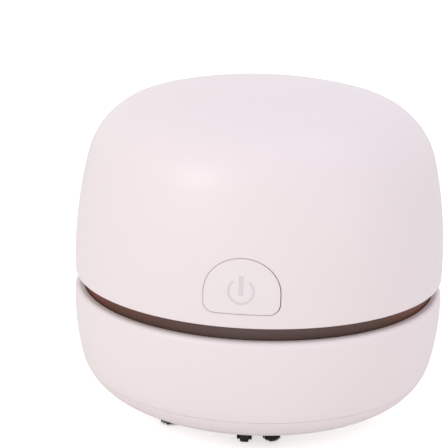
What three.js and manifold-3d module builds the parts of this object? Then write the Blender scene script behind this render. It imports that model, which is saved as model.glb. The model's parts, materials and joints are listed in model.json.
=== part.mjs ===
// Desktop mini vacuum cleaner: a round head with motor, fan and cell, lifted off a round dust base.
// Millimetres, +Z up. The origin is on the desk below the axis, and the button faces -Y.
import * as THREE from 'three';
import { mergeVertices } from 'three/addons/utils/BufferGeometryUtils.js';
import Module from 'manifold-3d';

const wasm = await Module();
wasm.setup();

// Driving dimensions: the outer shape
const deskGap = 3.9;             // desk to the flat underside of the base
const baseHeight = 26.1;         // underside to shoulder
const waistGap = 3.1;            // shoulder to the rim of the head: the air outlet
const headHeight = 43.4;         // rim to crown
const headRadius = 42;
const headWidestRise = 2.75;     // height of the widest circle above the rim
const headSideArc = 98.6;
const headCornerArc = 18.4;
const headCrownArc = 101.9;
const headWall = 1.4;
const headRimFillet = 0.5;
const baseProud = 0.1;           // how far the base stands out past the head
const baseWidestDrop = 2.95;     // depth of the widest circle below the shoulder
const baseSideArc = 58.2;
const baseCornerArc = 14.4;
const baseWall = 2;
const baseFloor = 2;
const shoulderFillet = 1.4;

// Driving dimensions: fits
const seat = 0.3;                // between pieces that rest on each other
const slip = 0.1;                // between a pin and its hole
const bite = 0.4;                // how far joined forms run into each other
const overrun = 1;               // how far a cutting form runs past a face

// Driving dimensions: dust base
const cupInset = 2.1;            // outside of the head to outside of the cup
const cupWall = 1.4;
const cupFootFillet = 4.5;
const cupFootGap = 0.95;         // foot of the cup to the inside of the bowl
const cupRimRise = 0.3;          // cup rim above the rim of the head
const ledgeDrop = 9.6;           // top of the filter ledge below the cup rim
const ledgeWidth = 1.8;
const ledgeThickness = 1.2;
const throatRadius = 6.6;
const mouthRadius = 8.8;
const mouthFlareHeight = 4.4;
const nozzleWall = 1.2;
const nozzleFlangeWidth = 4;
const nozzleFlangeThickness = 1.1;
const nozzleSocket = 3;          // how far the nozzle reaches into the cup
const chimneyHeight = 8;
const chimneyWall = 1.2;
const chimneyFootWall = 2.6;
const landRoom = 1.8;            // land to caster sockets
const landStep = 0.3;

// Driving dimensions: casters and brushes
const runnerInset = 17.6;        // outside of the head to the circle of casters and tufts
const casterCount = 3;
const wheelRadius = 2.2;
const wheelWidth = 1.9;
const wheelRound = 0.35;
const casterTrail = 0.4;
const cheekThickness = 0.55;
const cheekRadius = 1.6;
const crownThickness = 0.9;
const axleRadius = 0.45;
const stemRadius = 1;
const stemHead = 0.25;           // how far the snap head is wider than the stem
const stemHeadHeight = 0.8;
const socketRoof = 1.5;
const socketWall = 0.75;
const cupFloorGap = 0.5;
const tuftsPerStrip = 2;
const tuftAngle = 14.1;          // degrees from a caster to the first tuft after it
const tuftRadius = 1.93;
const strandsPerTuft = 50;
const strandRadius = 0.14;
const strandTipShare = 0.6;
const strandSplayShare = 0.1;
const tuftLift = 0.4;            // desk to the longest strand
const tuftCrown = 0.9;           // how much shorter the outer strands are
const tuftHoleGap = 0.15;
const plugRecess = 0.2;
const stripThickness = 1.2;
const stripLip = 2.8;            // brush strip past the tuft circle, inwards and outwards

// Driving dimensions: filter
const filterRingHeight = 6.6;
const filterRingWall = 1.5;
const filterLipWidth = 2.4;
const filterLipThickness = 1;
const filterSpokeWidth = 1.6;
const filterSpokeCount = 4;
const filterHubRadius = 5;
const filterDepth = 5;
const clothThickness = 0.8;
const clothTaper = 7.5;

// Driving dimensions: head internals
const plugSkirtDepth = 3.4;
const plugSkirtWall = 1.6;
const plateThickness = 1.8;
const sealThickness = 0.8;
const sealInset = 0.8;           // leaves the cup's outer edge free for the air
const eyeRadius = 10.5;
const eyeRingRadius = 5.2;
const eyeBarWidth = 1.2;
const eyeSpokeCount = 6;
const notchCount = 24;
const notchWidth = 4.4;
const notchDepth = 1.6;
const screwRoom = 0.4;           // screw head to plug skirt
const screwCount = 4;
const screwRadius = 1;
const screwHeadRadius = 1.9;
const screwHeadHeight = 1.2;
const screwLength = 8;
const postRadius = 2.4;
const postHeight = 9;
const ribThickness = 1.2;
const housingRoom = 1.7;         // housing to screw posts
const housingWall = 1.4;
const housingShare = 0.283;      // of the height inside the head, above the plate
const housingTop = 1.4;
const outletCount = 8;
const outletWidth = 12;
const outletRoom = 4.9;          // housing above and below its outlets
const collarHeight = 4;
const collarWall = 1.5;
const impellerTipGap = 2.5;
const impellerDisc = 1.2;
const impellerGap = 1.6;         // above and below the impeller
const impellerEyeRadius = 8.6;
const impellerTipHeight = 4;
const bladeCount = 9;
const bladeThickness = 0.9;
const bladeSweep = 62;           // degrees that a blade's tip lags behind its root
const bladeCurl = 1.4;           // how much the lag grows towards the tip: 1 is even
const hubRadius = 3.4;
const shaftRadius = 1;
const motorRadius = 12;
const motorShare = 0.426;        // of the height inside the head, above the plate
const motorCapHeight = 2.2;
const motorCapStep = 0.6;
const motorFlat = 0.9;
const terminalWidth = 1.8;
const terminalThickness = 0.5;
const terminalHeight = 1.6;
const cellRadius = 7;
const cellShare = 0.744;         // of the head's width behind the cell
const cellRoom = 2.5;            // cell to motor
const cellTip = 0.9;
const saddleThickness = 2;
const saddleSpread = 14;
const saddleHeight = 3.4;
const boardWidth = 18;
const boardHeight = 14.6;
const boardThickness = 1.2;
const boardRail = 3;
const railHeight = 7;
const switchSize = 6;
const switchDepth = 3.4;
const switchStemRadius = 1.7;
const switchStemLength = 1.1;
const switchStemSeat = 1.2;      // how far the stem reaches into the switch at rest
const chargeBoardWidth = 14;
const chargeBoardDepth = 7.6;
const chargeBoardRise = 2.4;     // above the plate
const socketWidth = 8.9;
const socketHeight = 3.2;
const socketDepth = 7.4;
const socketShell = 0.4;
const socketTongue = 0.8;
const socketInset = 0.9;         // socket mouth behind the outside of the head

// Driving dimensions: button
const buttonWidth = 15.6;
const buttonHeight = 11.6;
const buttonRise = 2.9;          // button above the rim of the head
const buttonCorner = 2.3;
const buttonArch = 7.2;
const buttonSeam = 0.2;
const buttonFlange = 1.1;
const buttonFlangeThickness = 0.9;
const buttonTravel = 0.8;
const plungerRadius = 1.5;
const plungerLength = 1.5;
const markRadius = 2.55;
const markStroke = 0.5;
const markDepth = 0.2;
const markGapHalf = 37;          // degrees
const markBarWidth = 1;
const markBarHeight = 4.1;
const markRise = 4.4;            // centre of the mark above the foot of the button
const markBarRise = 3.7;

// Facet counts
const roundSteps = 52;
const wideSteps = 36;
const midSteps = 24;
const smallSteps = 12;
const tinySteps = 8;

// Radii worked out from the sizes above
const baseRadius = headRadius + baseProud;
const headInnerRadius = headRadius - headWall;
const cupRadius = headRadius - cupInset;
const cupInner = cupRadius - cupWall;
const nozzleOuter = throatRadius + nozzleWall;
const nozzleMouthOuter = mouthRadius + nozzleWall;
const nozzleFlangeRadius = nozzleMouthOuter + nozzleFlangeWidth;
const runnerRadius = headRadius - runnerInset;
const forkHalfGap = wheelWidth / 2 + slip;
const forkHalfWidth = forkHalfGap + cheekThickness;
const sweepRadius = Math.hypot(wheelRadius + casterTrail, wheelWidth / 2);
const socketRadius = sweepRadius + seat;
const socketOuter = socketRadius + socketWall;
const landRadius = runnerRadius - socketRadius - landRoom;
const filterOuter = cupInner - seat;
const filterInner = filterOuter - filterRingWall;
const skirtOuter = cupInner - seat;
const skirtInner = skirtOuter - plugSkirtWall;
const plateRadius = headInnerRadius - seat;
const screwCircle = skirtInner - screwHeadRadius - screwRoom;
const housingRadius = screwCircle - postRadius - housingRoom;
const impellerRadius = housingRadius - housingWall - impellerTipGap;
const cellOffset = motorRadius + cellRoom + cellRadius;
const cellLength = 2 * Math.sqrt(headInnerRadius ** 2 - (cellOffset + cellRadius) ** 2) * cellShare;
const plungerEnd = headInnerRadius - seat - buttonFlangeThickness - plungerLength;
const boardOffset = plungerEnd - switchStemLength - switchDepth - 2 * slip - boardThickness / 2;

// Heights worked out from the sizes above
const floorZ = deskGap;
const floorTopZ = floorZ + baseFloor;
const shoulderZ = floorZ + baseHeight;
const rimZ = shoulderZ + waistGap;
const crownZ = rimZ + headHeight;
const headWidestZ = rimZ + headWidestRise;
const baseWidestZ = shoulderZ - baseWidestDrop;
const cupRimZ = rimZ + cupRimRise;
const axleZ = wheelRadius;
const forkCrownZ = axleZ + wheelRadius + seat;
const forkTopZ = forkCrownZ + crownThickness;
const socketCeilingZ = forkTopZ + seat;
const socketTopZ = socketCeilingZ + socketRoof;
const stemTopZ = socketTopZ + slip + stemHeadHeight;
const cupFloorZ = stemTopZ + cupFloorGap;
const cupFloorTopZ = cupFloorZ + cupWall;
const nozzleTopZ = cupFloorZ + nozzleSocket;
const chimneyZ = nozzleTopZ + seat;
const chimneyTopZ = cupFloorTopZ + chimneyHeight;
const ledgeZ = cupRimZ - ledgeDrop;
const filterZ = ledgeZ + seat;
const filterLipZ = filterZ + filterRingWall + clothThickness;
const plateZ = cupRimZ + sealThickness + 2 * slip;
const plateTopZ = plateZ + plateThickness;
const skirtZ = plateZ - plugSkirtDepth;
const insideHeight = crownZ - headWall - plateTopZ;
const housingHeight = insideHeight * housingShare;
const outletHeight = housingHeight - outletRoom;
const motorHeight = insideHeight * motorShare;
const housingZ = plateTopZ + seat;
const housingTopZ = housingZ + housingHeight;
const impellerZ = housingZ + impellerGap;
const impellerTopZ = housingTopZ - housingTop - impellerGap;
const motorZ = housingTopZ + seat;
const motorTopZ = motorZ + motorHeight;
const motorCapZ = motorTopZ + seat;
const cellZ = housingTopZ + cellRadius + cellTip;
const buttonZ = rimZ + buttonRise;
const socketZ = plateTopZ + chargeBoardRise + boardThickness + seat;

// Small helpers

const turn = (degrees) => degrees * Math.PI / 180;

// A closed three.js geometry becomes a solid that can be joined and cut.
function solid(geometry) {
  const bare = geometry.index ? geometry.toNonIndexed() : geometry.clone();
  bare.deleteAttribute('normal');
  bare.deleteAttribute('uv');
  const merged = mergeVertices(bare, 1e-4);
  const place = merged.attributes.position;
  const index = merged.index.array;
  const faces = [];
  let volume = 0;
  const a = new THREE.Vector3();
  const b = new THREE.Vector3();
  const c = new THREE.Vector3();
  for (let i = 0; i < index.length; i += 3) {
    const [p, q, r] = [index[i], index[i + 1], index[i + 2]];
    if (p === q || q === r || r === p) continue;
    faces.push([p, q, r]);
    a.fromBufferAttribute(place, p);
    b.fromBufferAttribute(place, q);
    c.fromBufferAttribute(place, r);
    volume += a.dot(b.cross(c));
  }
  const outward = volume > 0 ? faces : faces.map(([p, q, r]) => [p, r, q]);
  const triVerts = new Uint32Array(outward.flat());
  return new wasm.Manifold(new wasm.Mesh({ numProp: 3, vertProperties: place.array, triVerts }));
}

// A profile of (radius, height) points, turned about the axis.
function revolve(profile, steps = roundSteps) {
  const points = profile.map(([r, z]) => new THREE.Vector2(Math.max(r, 0), z));
  return solid(new THREE.LatheGeometry(points, steps).rotateX(Math.PI / 2));
}

// A profile that doesn't touch the axis is closed before it is turned.
function ring(profile, steps = roundSteps) {
  return revolve([...profile, profile[0]], steps);
}

function drum(radius, low, high, steps = smallSteps) {
  return revolve([[0, low], [radius, low], [radius, high], [0, high]], steps);
}

function sleeve(inner, outer, low, high, steps = smallSteps) {
  return ring([[inner, low], [outer, low], [outer, high], [inner, high]], steps);
}

function box(x0, x1, y0, y1, z0, z1) {
  const block = new THREE.BoxGeometry(x1 - x0, y1 - y0, z1 - z0);
  return solid(block.translate((x0 + x1) / 2, (y0 + y1) / 2, (z0 + z1) / 2));
}

// An outline drawn in X and Y, raised from one height to another.
function raise(shape, low, high, curveSegments = 6) {
  const block = new THREE.ExtrudeGeometry(shape, { depth: high - low, bevelEnabled: false, curveSegments });
  return solid(block.translate(0, 0, low));
}

// An outline drawn in X and Z, pushed through the front wall from one depth to another.
function pushFront(shape, near, far, curveSegments = 6) {
  const block = new THREE.ExtrudeGeometry(shape, { depth: far - near, bevelEnabled: false, curveSegments });
  return solid(block.rotateX(Math.PI / 2).translate(0, -near, 0));
}

// An outline drawn in Y and Z, pushed sideways along X.
function pushSide(shape, low, high, curveSegments = 6) {
  const block = new THREE.ExtrudeGeometry(shape, { depth: high - low, bevelEnabled: false, curveSegments });
  const toSide = new THREE.Matrix4().makeBasis(
    new THREE.Vector3(0, 1, 0), new THREE.Vector3(0, 0, 1), new THREE.Vector3(1, 0, 0));
  return solid(block.applyMatrix4(toSide).translate(low, 0, 0));
}

const join = (...solids) => wasm.Manifold.union(solids);

const aroundAxis = (count, make) => Array.from({ length: count }, (_, i) => make(360 * i / count, i));

// Points of a round stretch of a profile.
function arc([r, z], radius, from, to, steps) {
  return Array.from({ length: steps + 1 }, (_, i) => {
    const angle = from + (to - from) * i / steps;
    return [r + radius * Math.cos(angle), z + radius * Math.sin(angle)];
  });
}

// The centre of the corner arc that runs tangent inside the side arc and the crown arc.
function cornerCentre(side, sideReach, crown, crownReach) {
  const [dr, dz] = [crown[0] - side[0], crown[1] - side[1]];
  const apart = Math.hypot(dr, dz);
  const along = (sideReach ** 2 - crownReach ** 2 + apart ** 2) / (2 * apart);
  const across = Math.sqrt(sideReach ** 2 - along ** 2);
  return [side[0] + (dr * along - dz * across) / apart, side[1] + (dz * along + dr * across) / apart];
}

const angleTo = (from, to) => Math.atan2(to[1] - from[1], to[0] - from[0]);

// The head's outline from a height up to the crown, drawn in by a depth.
const headSide = [headRadius - headSideArc, headWidestZ];
const headCrown = [0, crownZ - headCrownArc];
const headCorner = cornerCentre(
  headSide, headSideArc - headCornerArc, headCrown, headCrownArc - headCornerArc);

function headOutline(depth, fromZ, sideSteps, cornerSteps, crownSteps) {
  const low = Math.asin((fromZ - headSide[1]) / (headSideArc - depth));
  const cornerLow = angleTo(headSide, headCorner);
  const cornerHigh = angleTo(headCrown, headCorner);
  return [
    ...arc(headSide, headSideArc - depth, low, cornerLow, sideSteps),
    ...arc(headCorner, headCornerArc - depth, cornerLow, cornerHigh, cornerSteps).slice(1),
    ...arc(headCrown, headCrownArc - depth, cornerHigh, Math.PI / 2, crownSteps).slice(1),
  ];
}

// The base's outline from a height down to its flat underside, drawn in by a depth.
const baseSide = [baseRadius - baseSideArc, baseWidestZ];
const baseCornerZ = floorZ + baseCornerArc;
const baseCorner = [
  baseSide[0] + Math.sqrt((baseSideArc - baseCornerArc) ** 2 - (baseCornerZ - baseWidestZ) ** 2),
  baseCornerZ,
];

function baseOutline(depth, fromZ, sideSteps, cornerSteps) {
  const high = Math.asin((fromZ - baseSide[1]) / (baseSideArc - depth));
  const cornerHigh = angleTo(baseSide, baseCorner);
  return [
    ...arc(baseSide, baseSideArc - depth, high, cornerHigh, sideSteps),
    ...arc(baseCorner, baseCornerArc - depth, cornerHigh, -Math.PI / 2, cornerSteps).slice(1),
  ];
}

// Places of the casters and the tufts, in degrees from +X, with the button at -90.
const buttonDirection = -90;
const casterPlaces = aroundAxis(casterCount, (angle) => angle + buttonDirection);
const tuftStep = 360 / casterCount / tuftsPerStrip;
const tuftPlaces = aroundAxis(casterCount * tuftsPerStrip, (angle) => angle + buttonDirection + tuftAngle);
const screwPlaces = aroundAxis(screwCount, (angle) => angle + 180 / screwCount);
const onCircle = (radius, degrees) => [radius * Math.cos(turn(degrees)), radius * Math.sin(turn(degrees))];

// Dust base

function baseBowl() {
  const shoulderRadius = baseRadius - shoulderFillet;
  const hole = nozzleMouthOuter + seat;
  const wallInner = cupRadius + seat;
  const straightZ = baseCorner[1] - baseWall;
  const inside = baseOutline(baseWall, straightZ, 1, 3);
  const outer = [
    [wallInner, shoulderZ],
    ...arc([shoulderRadius, shoulderZ - shoulderFillet], shoulderFillet, Math.PI / 2, 0, 2),
    ...baseOutline(0, baseWidestZ, 2, 6),
    [landRadius, floorZ],
    [landRadius, floorZ - landStep],
    [hole, floorZ - landStep],
    [hole, floorTopZ],
    ...inside.reverse(),
    [wallInner, straightZ + baseWall],
  ];
  let bowl = ring(outer);
  const sockets = casterPlaces.map((angle) => {
    const [x, y] = onCircle(runnerRadius, angle);
    return drum(socketOuter, floorTopZ - bite, socketTopZ).translate(x, y, 0);
  });
  bowl = join(bowl, ...sockets);
  const cuts = casterPlaces.flatMap((angle) => {
    const [x, y] = onCircle(runnerRadius, angle);
    return [
      drum(socketRadius, floorZ - overrun, socketCeilingZ).translate(x, y, 0),
      drum(stemRadius + slip, floorZ, socketTopZ + overrun, tinySteps).translate(x, y, 0),
    ];
  });
  const tuftHoles = tuftPlaces.map((angle) => {
    const [x, y] = onCircle(runnerRadius, angle);
    return drum(tuftRadius + tuftHoleGap, floorZ - overrun, floorTopZ + overrun).translate(x, y, 0);
  });
  return bowl.subtract(join(...cuts, ...tuftHoles));
}

function suctionNozzle() {
  const flare = (radius) => Array.from({ length: 5 }, (_, i) => {
    const up = i / 4;
    const wide = (radius - throatRadius) * (1 - up) ** 2;
    return [throatRadius + wide, floorZ - landStep + mouthFlareHeight * up];
  });
  const flangeZ = floorTopZ + seat;
  const flangeTopZ = flangeZ + nozzleFlangeThickness;
  return ring([
    ...flare(mouthRadius),
    [throatRadius, nozzleTopZ],
    [nozzleOuter, nozzleTopZ],
    [nozzleOuter, flangeTopZ],
    [nozzleFlangeRadius, flangeTopZ],
    [nozzleFlangeRadius, flangeZ],
    [nozzleMouthOuter, flangeZ],
    [nozzleMouthOuter, floorZ - landStep],
  ], midSteps);
}

// One bristle: a thin three-sided spike that leans out from the middle of its tuft.
function strandGeometry(x, y, leanX, leanY, topZ, tipZ) {
  const corners = [0, 1, 2].map((i) => onCircle(strandRadius, 120 * i));
  const place = [];
  corners.forEach(([dx, dy]) => place.push(x + dx, y + dy, topZ));
  corners.forEach(([dx, dy]) => place.push(
    x + leanX + dx * strandTipShare, y + leanY + dy * strandTipShare, tipZ));
  const faces = [0, 1, 2, 3, 5, 4];
  for (let i = 0; i < 3; i += 1) {
    const next = (i + 1) % 3;
    faces.push(i, 3 + i, next, next, 3 + i, 3 + next);
  }
  return { place, faces };
}

// The bristles of a strip's tufts in one mesh, set out in the spiral of a sunflower head.
function strands(places, topZ) {
  const place = [];
  const faces = [];
  const goldenTurn = 180 * (3 - Math.sqrt(5));
  places.forEach(([cx, cy]) => {
    for (let i = 0; i < strandsPerTuft; i += 1) {
      const share = Math.sqrt((i + 1 / 2) / strandsPerTuft);
      const [dx, dy] = onCircle((tuftRadius - 2 * strandRadius) * share, goldenTurn * i);
      const tipZ = tuftLift + tuftCrown * share ** 2;
      const strand = strandGeometry(
        cx + dx, cy + dy, dx * strandSplayShare, dy * strandSplayShare, topZ, tipZ);
      const first = place.length / 3;
      place.push(...strand.place);
      faces.push(...strand.faces.map((corner) => corner + first));
    }
  });
  const geometry = new THREE.BufferGeometry();
  geometry.setAttribute('position', new THREE.Float32BufferAttribute(place, 3));
  geometry.setIndex(faces);
  return solid(geometry);
}

// A brush strip: a curved backing between two casters, with a plug and a tuft through each hole.
function brushStrip(casterAngle) {
  const lowZ = floorTopZ + seat;
  const plugZ = floorZ + plugRecess;
  const clear = 2 * Math.asin((socketOuter + tuftHoleGap) / (2 * runnerRadius));
  const from = turn(casterAngle) + clear;
  const to = turn(casterAngle + 360 / casterCount) - clear;
  const outline = new THREE.Shape();
  outline.absarc(0, 0, runnerRadius + stripLip, from, to, false);
  outline.absarc(0, 0, runnerRadius - stripLip, to, from, true);
  const places = Array.from({ length: tuftsPerStrip }, (_, i) => onCircle(
    runnerRadius, casterAngle + tuftAngle + tuftStep * i));
  const plugs = places.map(([x, y]) => drum(tuftRadius, plugZ, lowZ + bite).translate(x, y, 0));
  return join(raise(outline, lowZ, lowZ + stripThickness, 9), ...plugs, strands(places, plugZ + bite));
}

function dustCup() {
  const socketInner = nozzleOuter + seat;
  const chimneyOuter = throatRadius + chimneyWall;
  const footOuter = throatRadius + chimneyFootWall;
  const filletZ = cupFloorZ + cupFootFillet;
  const bowlInner = baseCorner[0] + Math.sqrt(
    (baseCornerArc - baseWall) ** 2 - (baseCorner[1] - filletZ) ** 2);
  const fillet = [bowlInner - cupFootGap - cupFootFillet, filletZ];
  const innerFillet = cupFootFillet - cupWall;
  return ring([
    [socketInner, cupFloorZ],
    ...arc(fillet, cupFootFillet, -Math.PI / 2, 0, 3),
    [cupRadius, ledgeZ],
    [cupRadius, cupRimZ],
    [cupInner, cupRimZ],
    [cupInner, ledgeZ],
    [cupInner - ledgeWidth, ledgeZ],
    [cupInner - ledgeWidth, ledgeZ - ledgeThickness],
    [cupInner - cupWall / 2, ledgeZ - ledgeThickness - ledgeWidth],
    ...arc(fillet, innerFillet, 0, -Math.PI / 2, 2),
    [footOuter + cupWall, cupFloorTopZ],
    [footOuter, cupFloorTopZ + cupWall],
    [chimneyOuter, chimneyTopZ],
    [throatRadius, chimneyTopZ],
    [throatRadius, chimneyZ],
    [socketInner, chimneyZ],
  ], wideSteps);
}

// Casters: each is built at the axis with its wheel running along Y, then set on its place.

function casterFork() {
  const half = forkHalfWidth;
  const back = casterTrail - cheekRadius;
  const front = casterTrail + cheekRadius;
  const cheek = new THREE.Shape();
  cheek.moveTo(back, forkCrownZ + bite);
  cheek.lineTo(back, axleZ);
  cheek.absarc(casterTrail, axleZ, cheekRadius, Math.PI, 2 * Math.PI, false);
  cheek.lineTo(front, forkCrownZ + bite);
  const cheeks = [
    pushSide(cheek, -half, -forkHalfGap, 3),
    pushSide(cheek, forkHalfGap, half, 3),
  ];
  const crown = drum(sweepRadius - slip, forkCrownZ, forkTopZ, smallSteps);
  const stem = revolve([
    [0, forkTopZ - bite],
    [stemRadius, forkTopZ - bite],
    [stemRadius, socketTopZ + slip],
    [stemRadius + stemHead, socketTopZ + slip],
    [stemRadius - stemHead, stemTopZ],
    [0, stemTopZ],
  ], tinySteps);
  const bore = pushSide(circle(casterTrail, axleZ, axleRadius + slip), -half - overrun, half + overrun, 4);
  return join(...cheeks, crown, stem).subtract(bore);
}

function circle(x, y, radius) {
  const shape = new THREE.Shape();
  shape.absarc(x, y, radius, 0, 2 * Math.PI, false);
  return shape;
}

function casterAxle() {
  return pushSide(circle(casterTrail, axleZ, axleRadius), -forkHalfWidth, forkHalfWidth, 4);
}

function casterWheel() {
  const half = wheelWidth / 2;
  const bore = axleRadius + slip;
  const wheel = ring([
    [bore, -half],
    [wheelRadius - wheelRound, -half],
    [wheelRadius, wheelRound - half],
    [wheelRadius, half - wheelRound],
    [wheelRadius - wheelRound, half],
    [bore, half],
  ], smallSteps);
  return wheel.rotate([0, 90, 0]).translate(0, casterTrail, axleZ);
}

// Filter

function filterFrame() {
  const lipInner = filterInner - filterLipWidth;
  const rim = ring([
    [filterInner, filterZ],
    [filterOuter, filterZ],
    [filterOuter, filterZ + filterRingHeight],
    [filterInner, filterZ + filterRingHeight],
    [filterInner, filterLipZ + filterLipThickness],
    [lipInner, filterLipZ + filterLipThickness],
    [lipInner, filterLipZ],
    [filterInner, filterLipZ],
  ], wideSteps);
  const spokes = aroundAxis(filterSpokeCount, (angle) => box(
    filterHubRadius - bite, lipInner + bite, -filterSpokeWidth / 2, filterSpokeWidth / 2,
    filterLipZ, filterLipZ + filterLipThickness).rotate([0, 0, angle]));
  const hub = sleeve(
    filterHubRadius - filterSpokeWidth, filterHubRadius,
    filterLipZ, filterLipZ + filterLipThickness, smallSteps);
  return join(rim, hub, ...spokes);
}

function filterCloth() {
  const top = filterLipZ - slip;
  const outer = filterInner - seat;
  const neck = filterInner - filterLipWidth;
  const foot = neck - clothTaper;
  const low = top - filterDepth;
  return revolve([
    [0, low],
    [foot, low],
    [neck, top - clothThickness],
    [outer, top - clothThickness],
    [outer, top],
    [neck - clothThickness, top],
    [foot - clothThickness, low + clothThickness],
    [0, low + clothThickness],
  ], midSteps);
}

// Head internals

function sealRing() {
  const low = cupRimZ + slip;
  const middle = low + sealThickness / 2;
  return ring([
    [skirtOuter + slip, low],
    [cupRadius - sealInset - slip, low],
    [cupRadius - sealInset, middle],
    [cupRadius - sealInset - slip, low + sealThickness],
    [skirtOuter + slip, low + sealThickness],
  ], wideSteps);
}

function headChassis() {
  const plate = sleeve(eyeRadius, plateRadius, plateZ, plateTopZ, wideSteps);
  const skirt = sleeve(skirtInner, skirtOuter, skirtZ, plateZ + bite, wideSteps);
  const eyeRing = sleeve(eyeRingRadius - eyeBarWidth, eyeRingRadius, plateZ, plateTopZ, smallSteps);
  const spokes = aroundAxis(eyeSpokeCount, (angle) => box(
    eyeRingRadius - bite, eyeRadius + bite, -eyeBarWidth / 2, eyeBarWidth / 2,
    plateZ, plateTopZ).rotate([0, 0, angle]));
  const railX = boardWidth / 2;
  const rails = [-1, 1].map((side) => box(
    side * railX - boardRail / 2, side * railX + boardRail / 2,
    -boardOffset - boardRail / 2, -boardOffset + boardRail / 2,
    plateTopZ - bite, plateTopZ + railHeight));
  const boardSlot = box(
    -railX - seat, railX + seat,
    -boardOffset - boardThickness / 2 - seat, -boardOffset + boardThickness / 2 + seat,
    plateTopZ, plateTopZ + railHeight + overrun);
  const feet = [-1, 1].map((side) => box(
    side * chargeBoardWidth / 2 - boardRail / 2, side * chargeBoardWidth / 2 + boardRail / 2,
    chargeFrontY - chargeBoardDepth, chargeFrontY, plateTopZ - bite, plateTopZ + chargeBoardRise - seat));
  const notches = aroundAxis(notchCount, (angle) => box(
    plateRadius - notchDepth, plateRadius + overrun, -notchWidth / 2, notchWidth / 2,
    plateZ - overrun, plateTopZ + overrun).rotate([0, 0, angle]));
  const screwHoles = screwPlaces.map((angle) => {
    const [x, y] = onCircle(screwCircle, angle);
    return drum(screwRadius + slip, plateZ - overrun, plateTopZ + overrun, tinySteps).translate(x, y, 0);
  });
  const buttonPocket = box(
    -buttonWidth / 2 - buttonFlange - seat, buttonWidth / 2 + buttonFlange + seat,
    -plateRadius - overrun, buttonTravel + seat - skirtOuter, buttonZ - seat, plateTopZ + overrun);
  const body = join(plate, skirt, eyeRing, ...spokes, ...rails, ...feet);
  return body.subtract(join(boardSlot, buttonPocket, ...notches, ...screwHoles));
}

function fanHousing() {
  const inner = housingRadius - housingWall;
  const collarInner = motorRadius + seat;
  const collarOuter = collarInner + collarWall;
  const shell = ring([
    [inner, housingZ],
    [housingRadius, housingZ],
    [housingRadius, housingTopZ],
    [collarOuter, housingTopZ],
    [collarOuter, housingTopZ + collarHeight],
    [collarInner, housingTopZ + collarHeight],
    [collarInner, housingTopZ],
    [hubRadius + seat, housingTopZ],
    [hubRadius + seat, housingTopZ - housingTop],
    [inner, housingTopZ - housingTop],
  ], midSteps);
  const outlets = aroundAxis(outletCount, (angle) => box(
    inner - overrun, housingRadius + overrun, -outletWidth / 2, outletWidth / 2,
    housingZ + housingWall, housingZ + housingWall + outletHeight).rotate([0, 0, angle + 180 / outletCount]));
  const reach = Math.sqrt(housingRadius ** 2 - (saddleSpread + saddleThickness) ** 2) - housingWall;
  const saddles = [-1, 1].map((side) => box(
    side * saddleSpread - saddleThickness / 2, side * saddleSpread + saddleThickness / 2,
    cellOffset - cellRadius + overrun, reach, housingTopZ - bite, housingTopZ + saddleHeight));
  const cell = cellBody(cellRadius + seat, cellLength);
  return join(shell, ...saddles).subtract(join(...outlets, cell));
}

// One blade seen from above: a thin strip that leans back along an arc from hub to tip.
function bladeOutline() {
  const steps = 7;
  const inner = hubRadius - bite;
  const edge = (side) => Array.from({ length: steps + 1 }, (_, i) => {
    const share = i / steps;
    const radius = inner + (impellerRadius - inner) * share;
    const lag = -bladeSweep * share ** bladeCurl;
    const [x, y] = onCircle(radius, lag);
    const lagGrowth = turn(bladeSweep) * bladeCurl * share ** (bladeCurl - 1);
    const heading = turn(lag) - Math.atan2(lagGrowth * radius, impellerRadius);
    return new THREE.Vector2(
      x - Math.sin(heading) * side * bladeThickness / 2, y + Math.cos(heading) * side * bladeThickness / 2);
  });
  return new THREE.Shape([...edge(1), ...edge(-1).reverse()]);
}

// The fan: swept blades under a disc, trimmed to a bowl-shaped envelope, on a bored hub.
function impeller() {
  const blade = bladeOutline();
  const blades = aroundAxis(bladeCount, (angle) => raise(
    blade, impellerZ - overrun, impellerTopZ - impellerDisc + bite).rotate([0, 0, angle]));
  const tipZ = impellerTopZ - impellerDisc - impellerTipHeight;
  const envelope = revolve([
    [0, impellerZ],
    [impellerEyeRadius, impellerZ],
    [(impellerEyeRadius + impellerRadius) / 2, (2 * tipZ + impellerZ) / 3],
    [impellerRadius, tipZ],
    [impellerRadius, impellerTopZ],
    [0, impellerTopZ],
  ], midSteps);
  const disc = revolve([
    [0, impellerTopZ],
    [impellerRadius, impellerTopZ],
    [impellerRadius, impellerTopZ - impellerDisc],
    [hubRadius * 2, impellerTopZ - impellerDisc],
    [hubRadius, impellerTopZ - impellerDisc * 2],
    [hubRadius, impellerZ + impellerDisc],
    [hubRadius / 2, impellerZ],
    [0, impellerZ],
  ], midSteps);
  const bore = drum(shaftRadius + slip / 2, impellerZ - overrun, impellerTopZ + overrun, tinySteps);
  return join(join(...blades).intersect(envelope), disc).subtract(bore);
}

function motorShaft() {
  return drum(shaftRadius, impellerZ - slip, motorTopZ - motorCapHeight, tinySteps);
}

function motorCan() {
  const can = revolve([
    [0, motorZ],
    [motorRadius - motorCapStep, motorZ],
    [motorRadius, motorZ + motorCapStep],
    [motorRadius, motorTopZ],
    [0, motorTopZ],
  ], midSteps);
  const wide = 2 * motorRadius;
  const flats = [-1, 1].map((side) => {
    const near = side * (motorRadius - motorFlat);
    const [x0, x1] = side > 0 ? [near, near + wide] : [near - wide, near];
    return box(x0, x1, -wide, wide, motorZ - overrun, motorTopZ + overrun);
  });
  const bore = drum(shaftRadius + slip, motorZ - overrun, motorTopZ - motorCapHeight + seat, tinySteps);
  return can.subtract(join(bore, ...flats));
}

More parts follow.
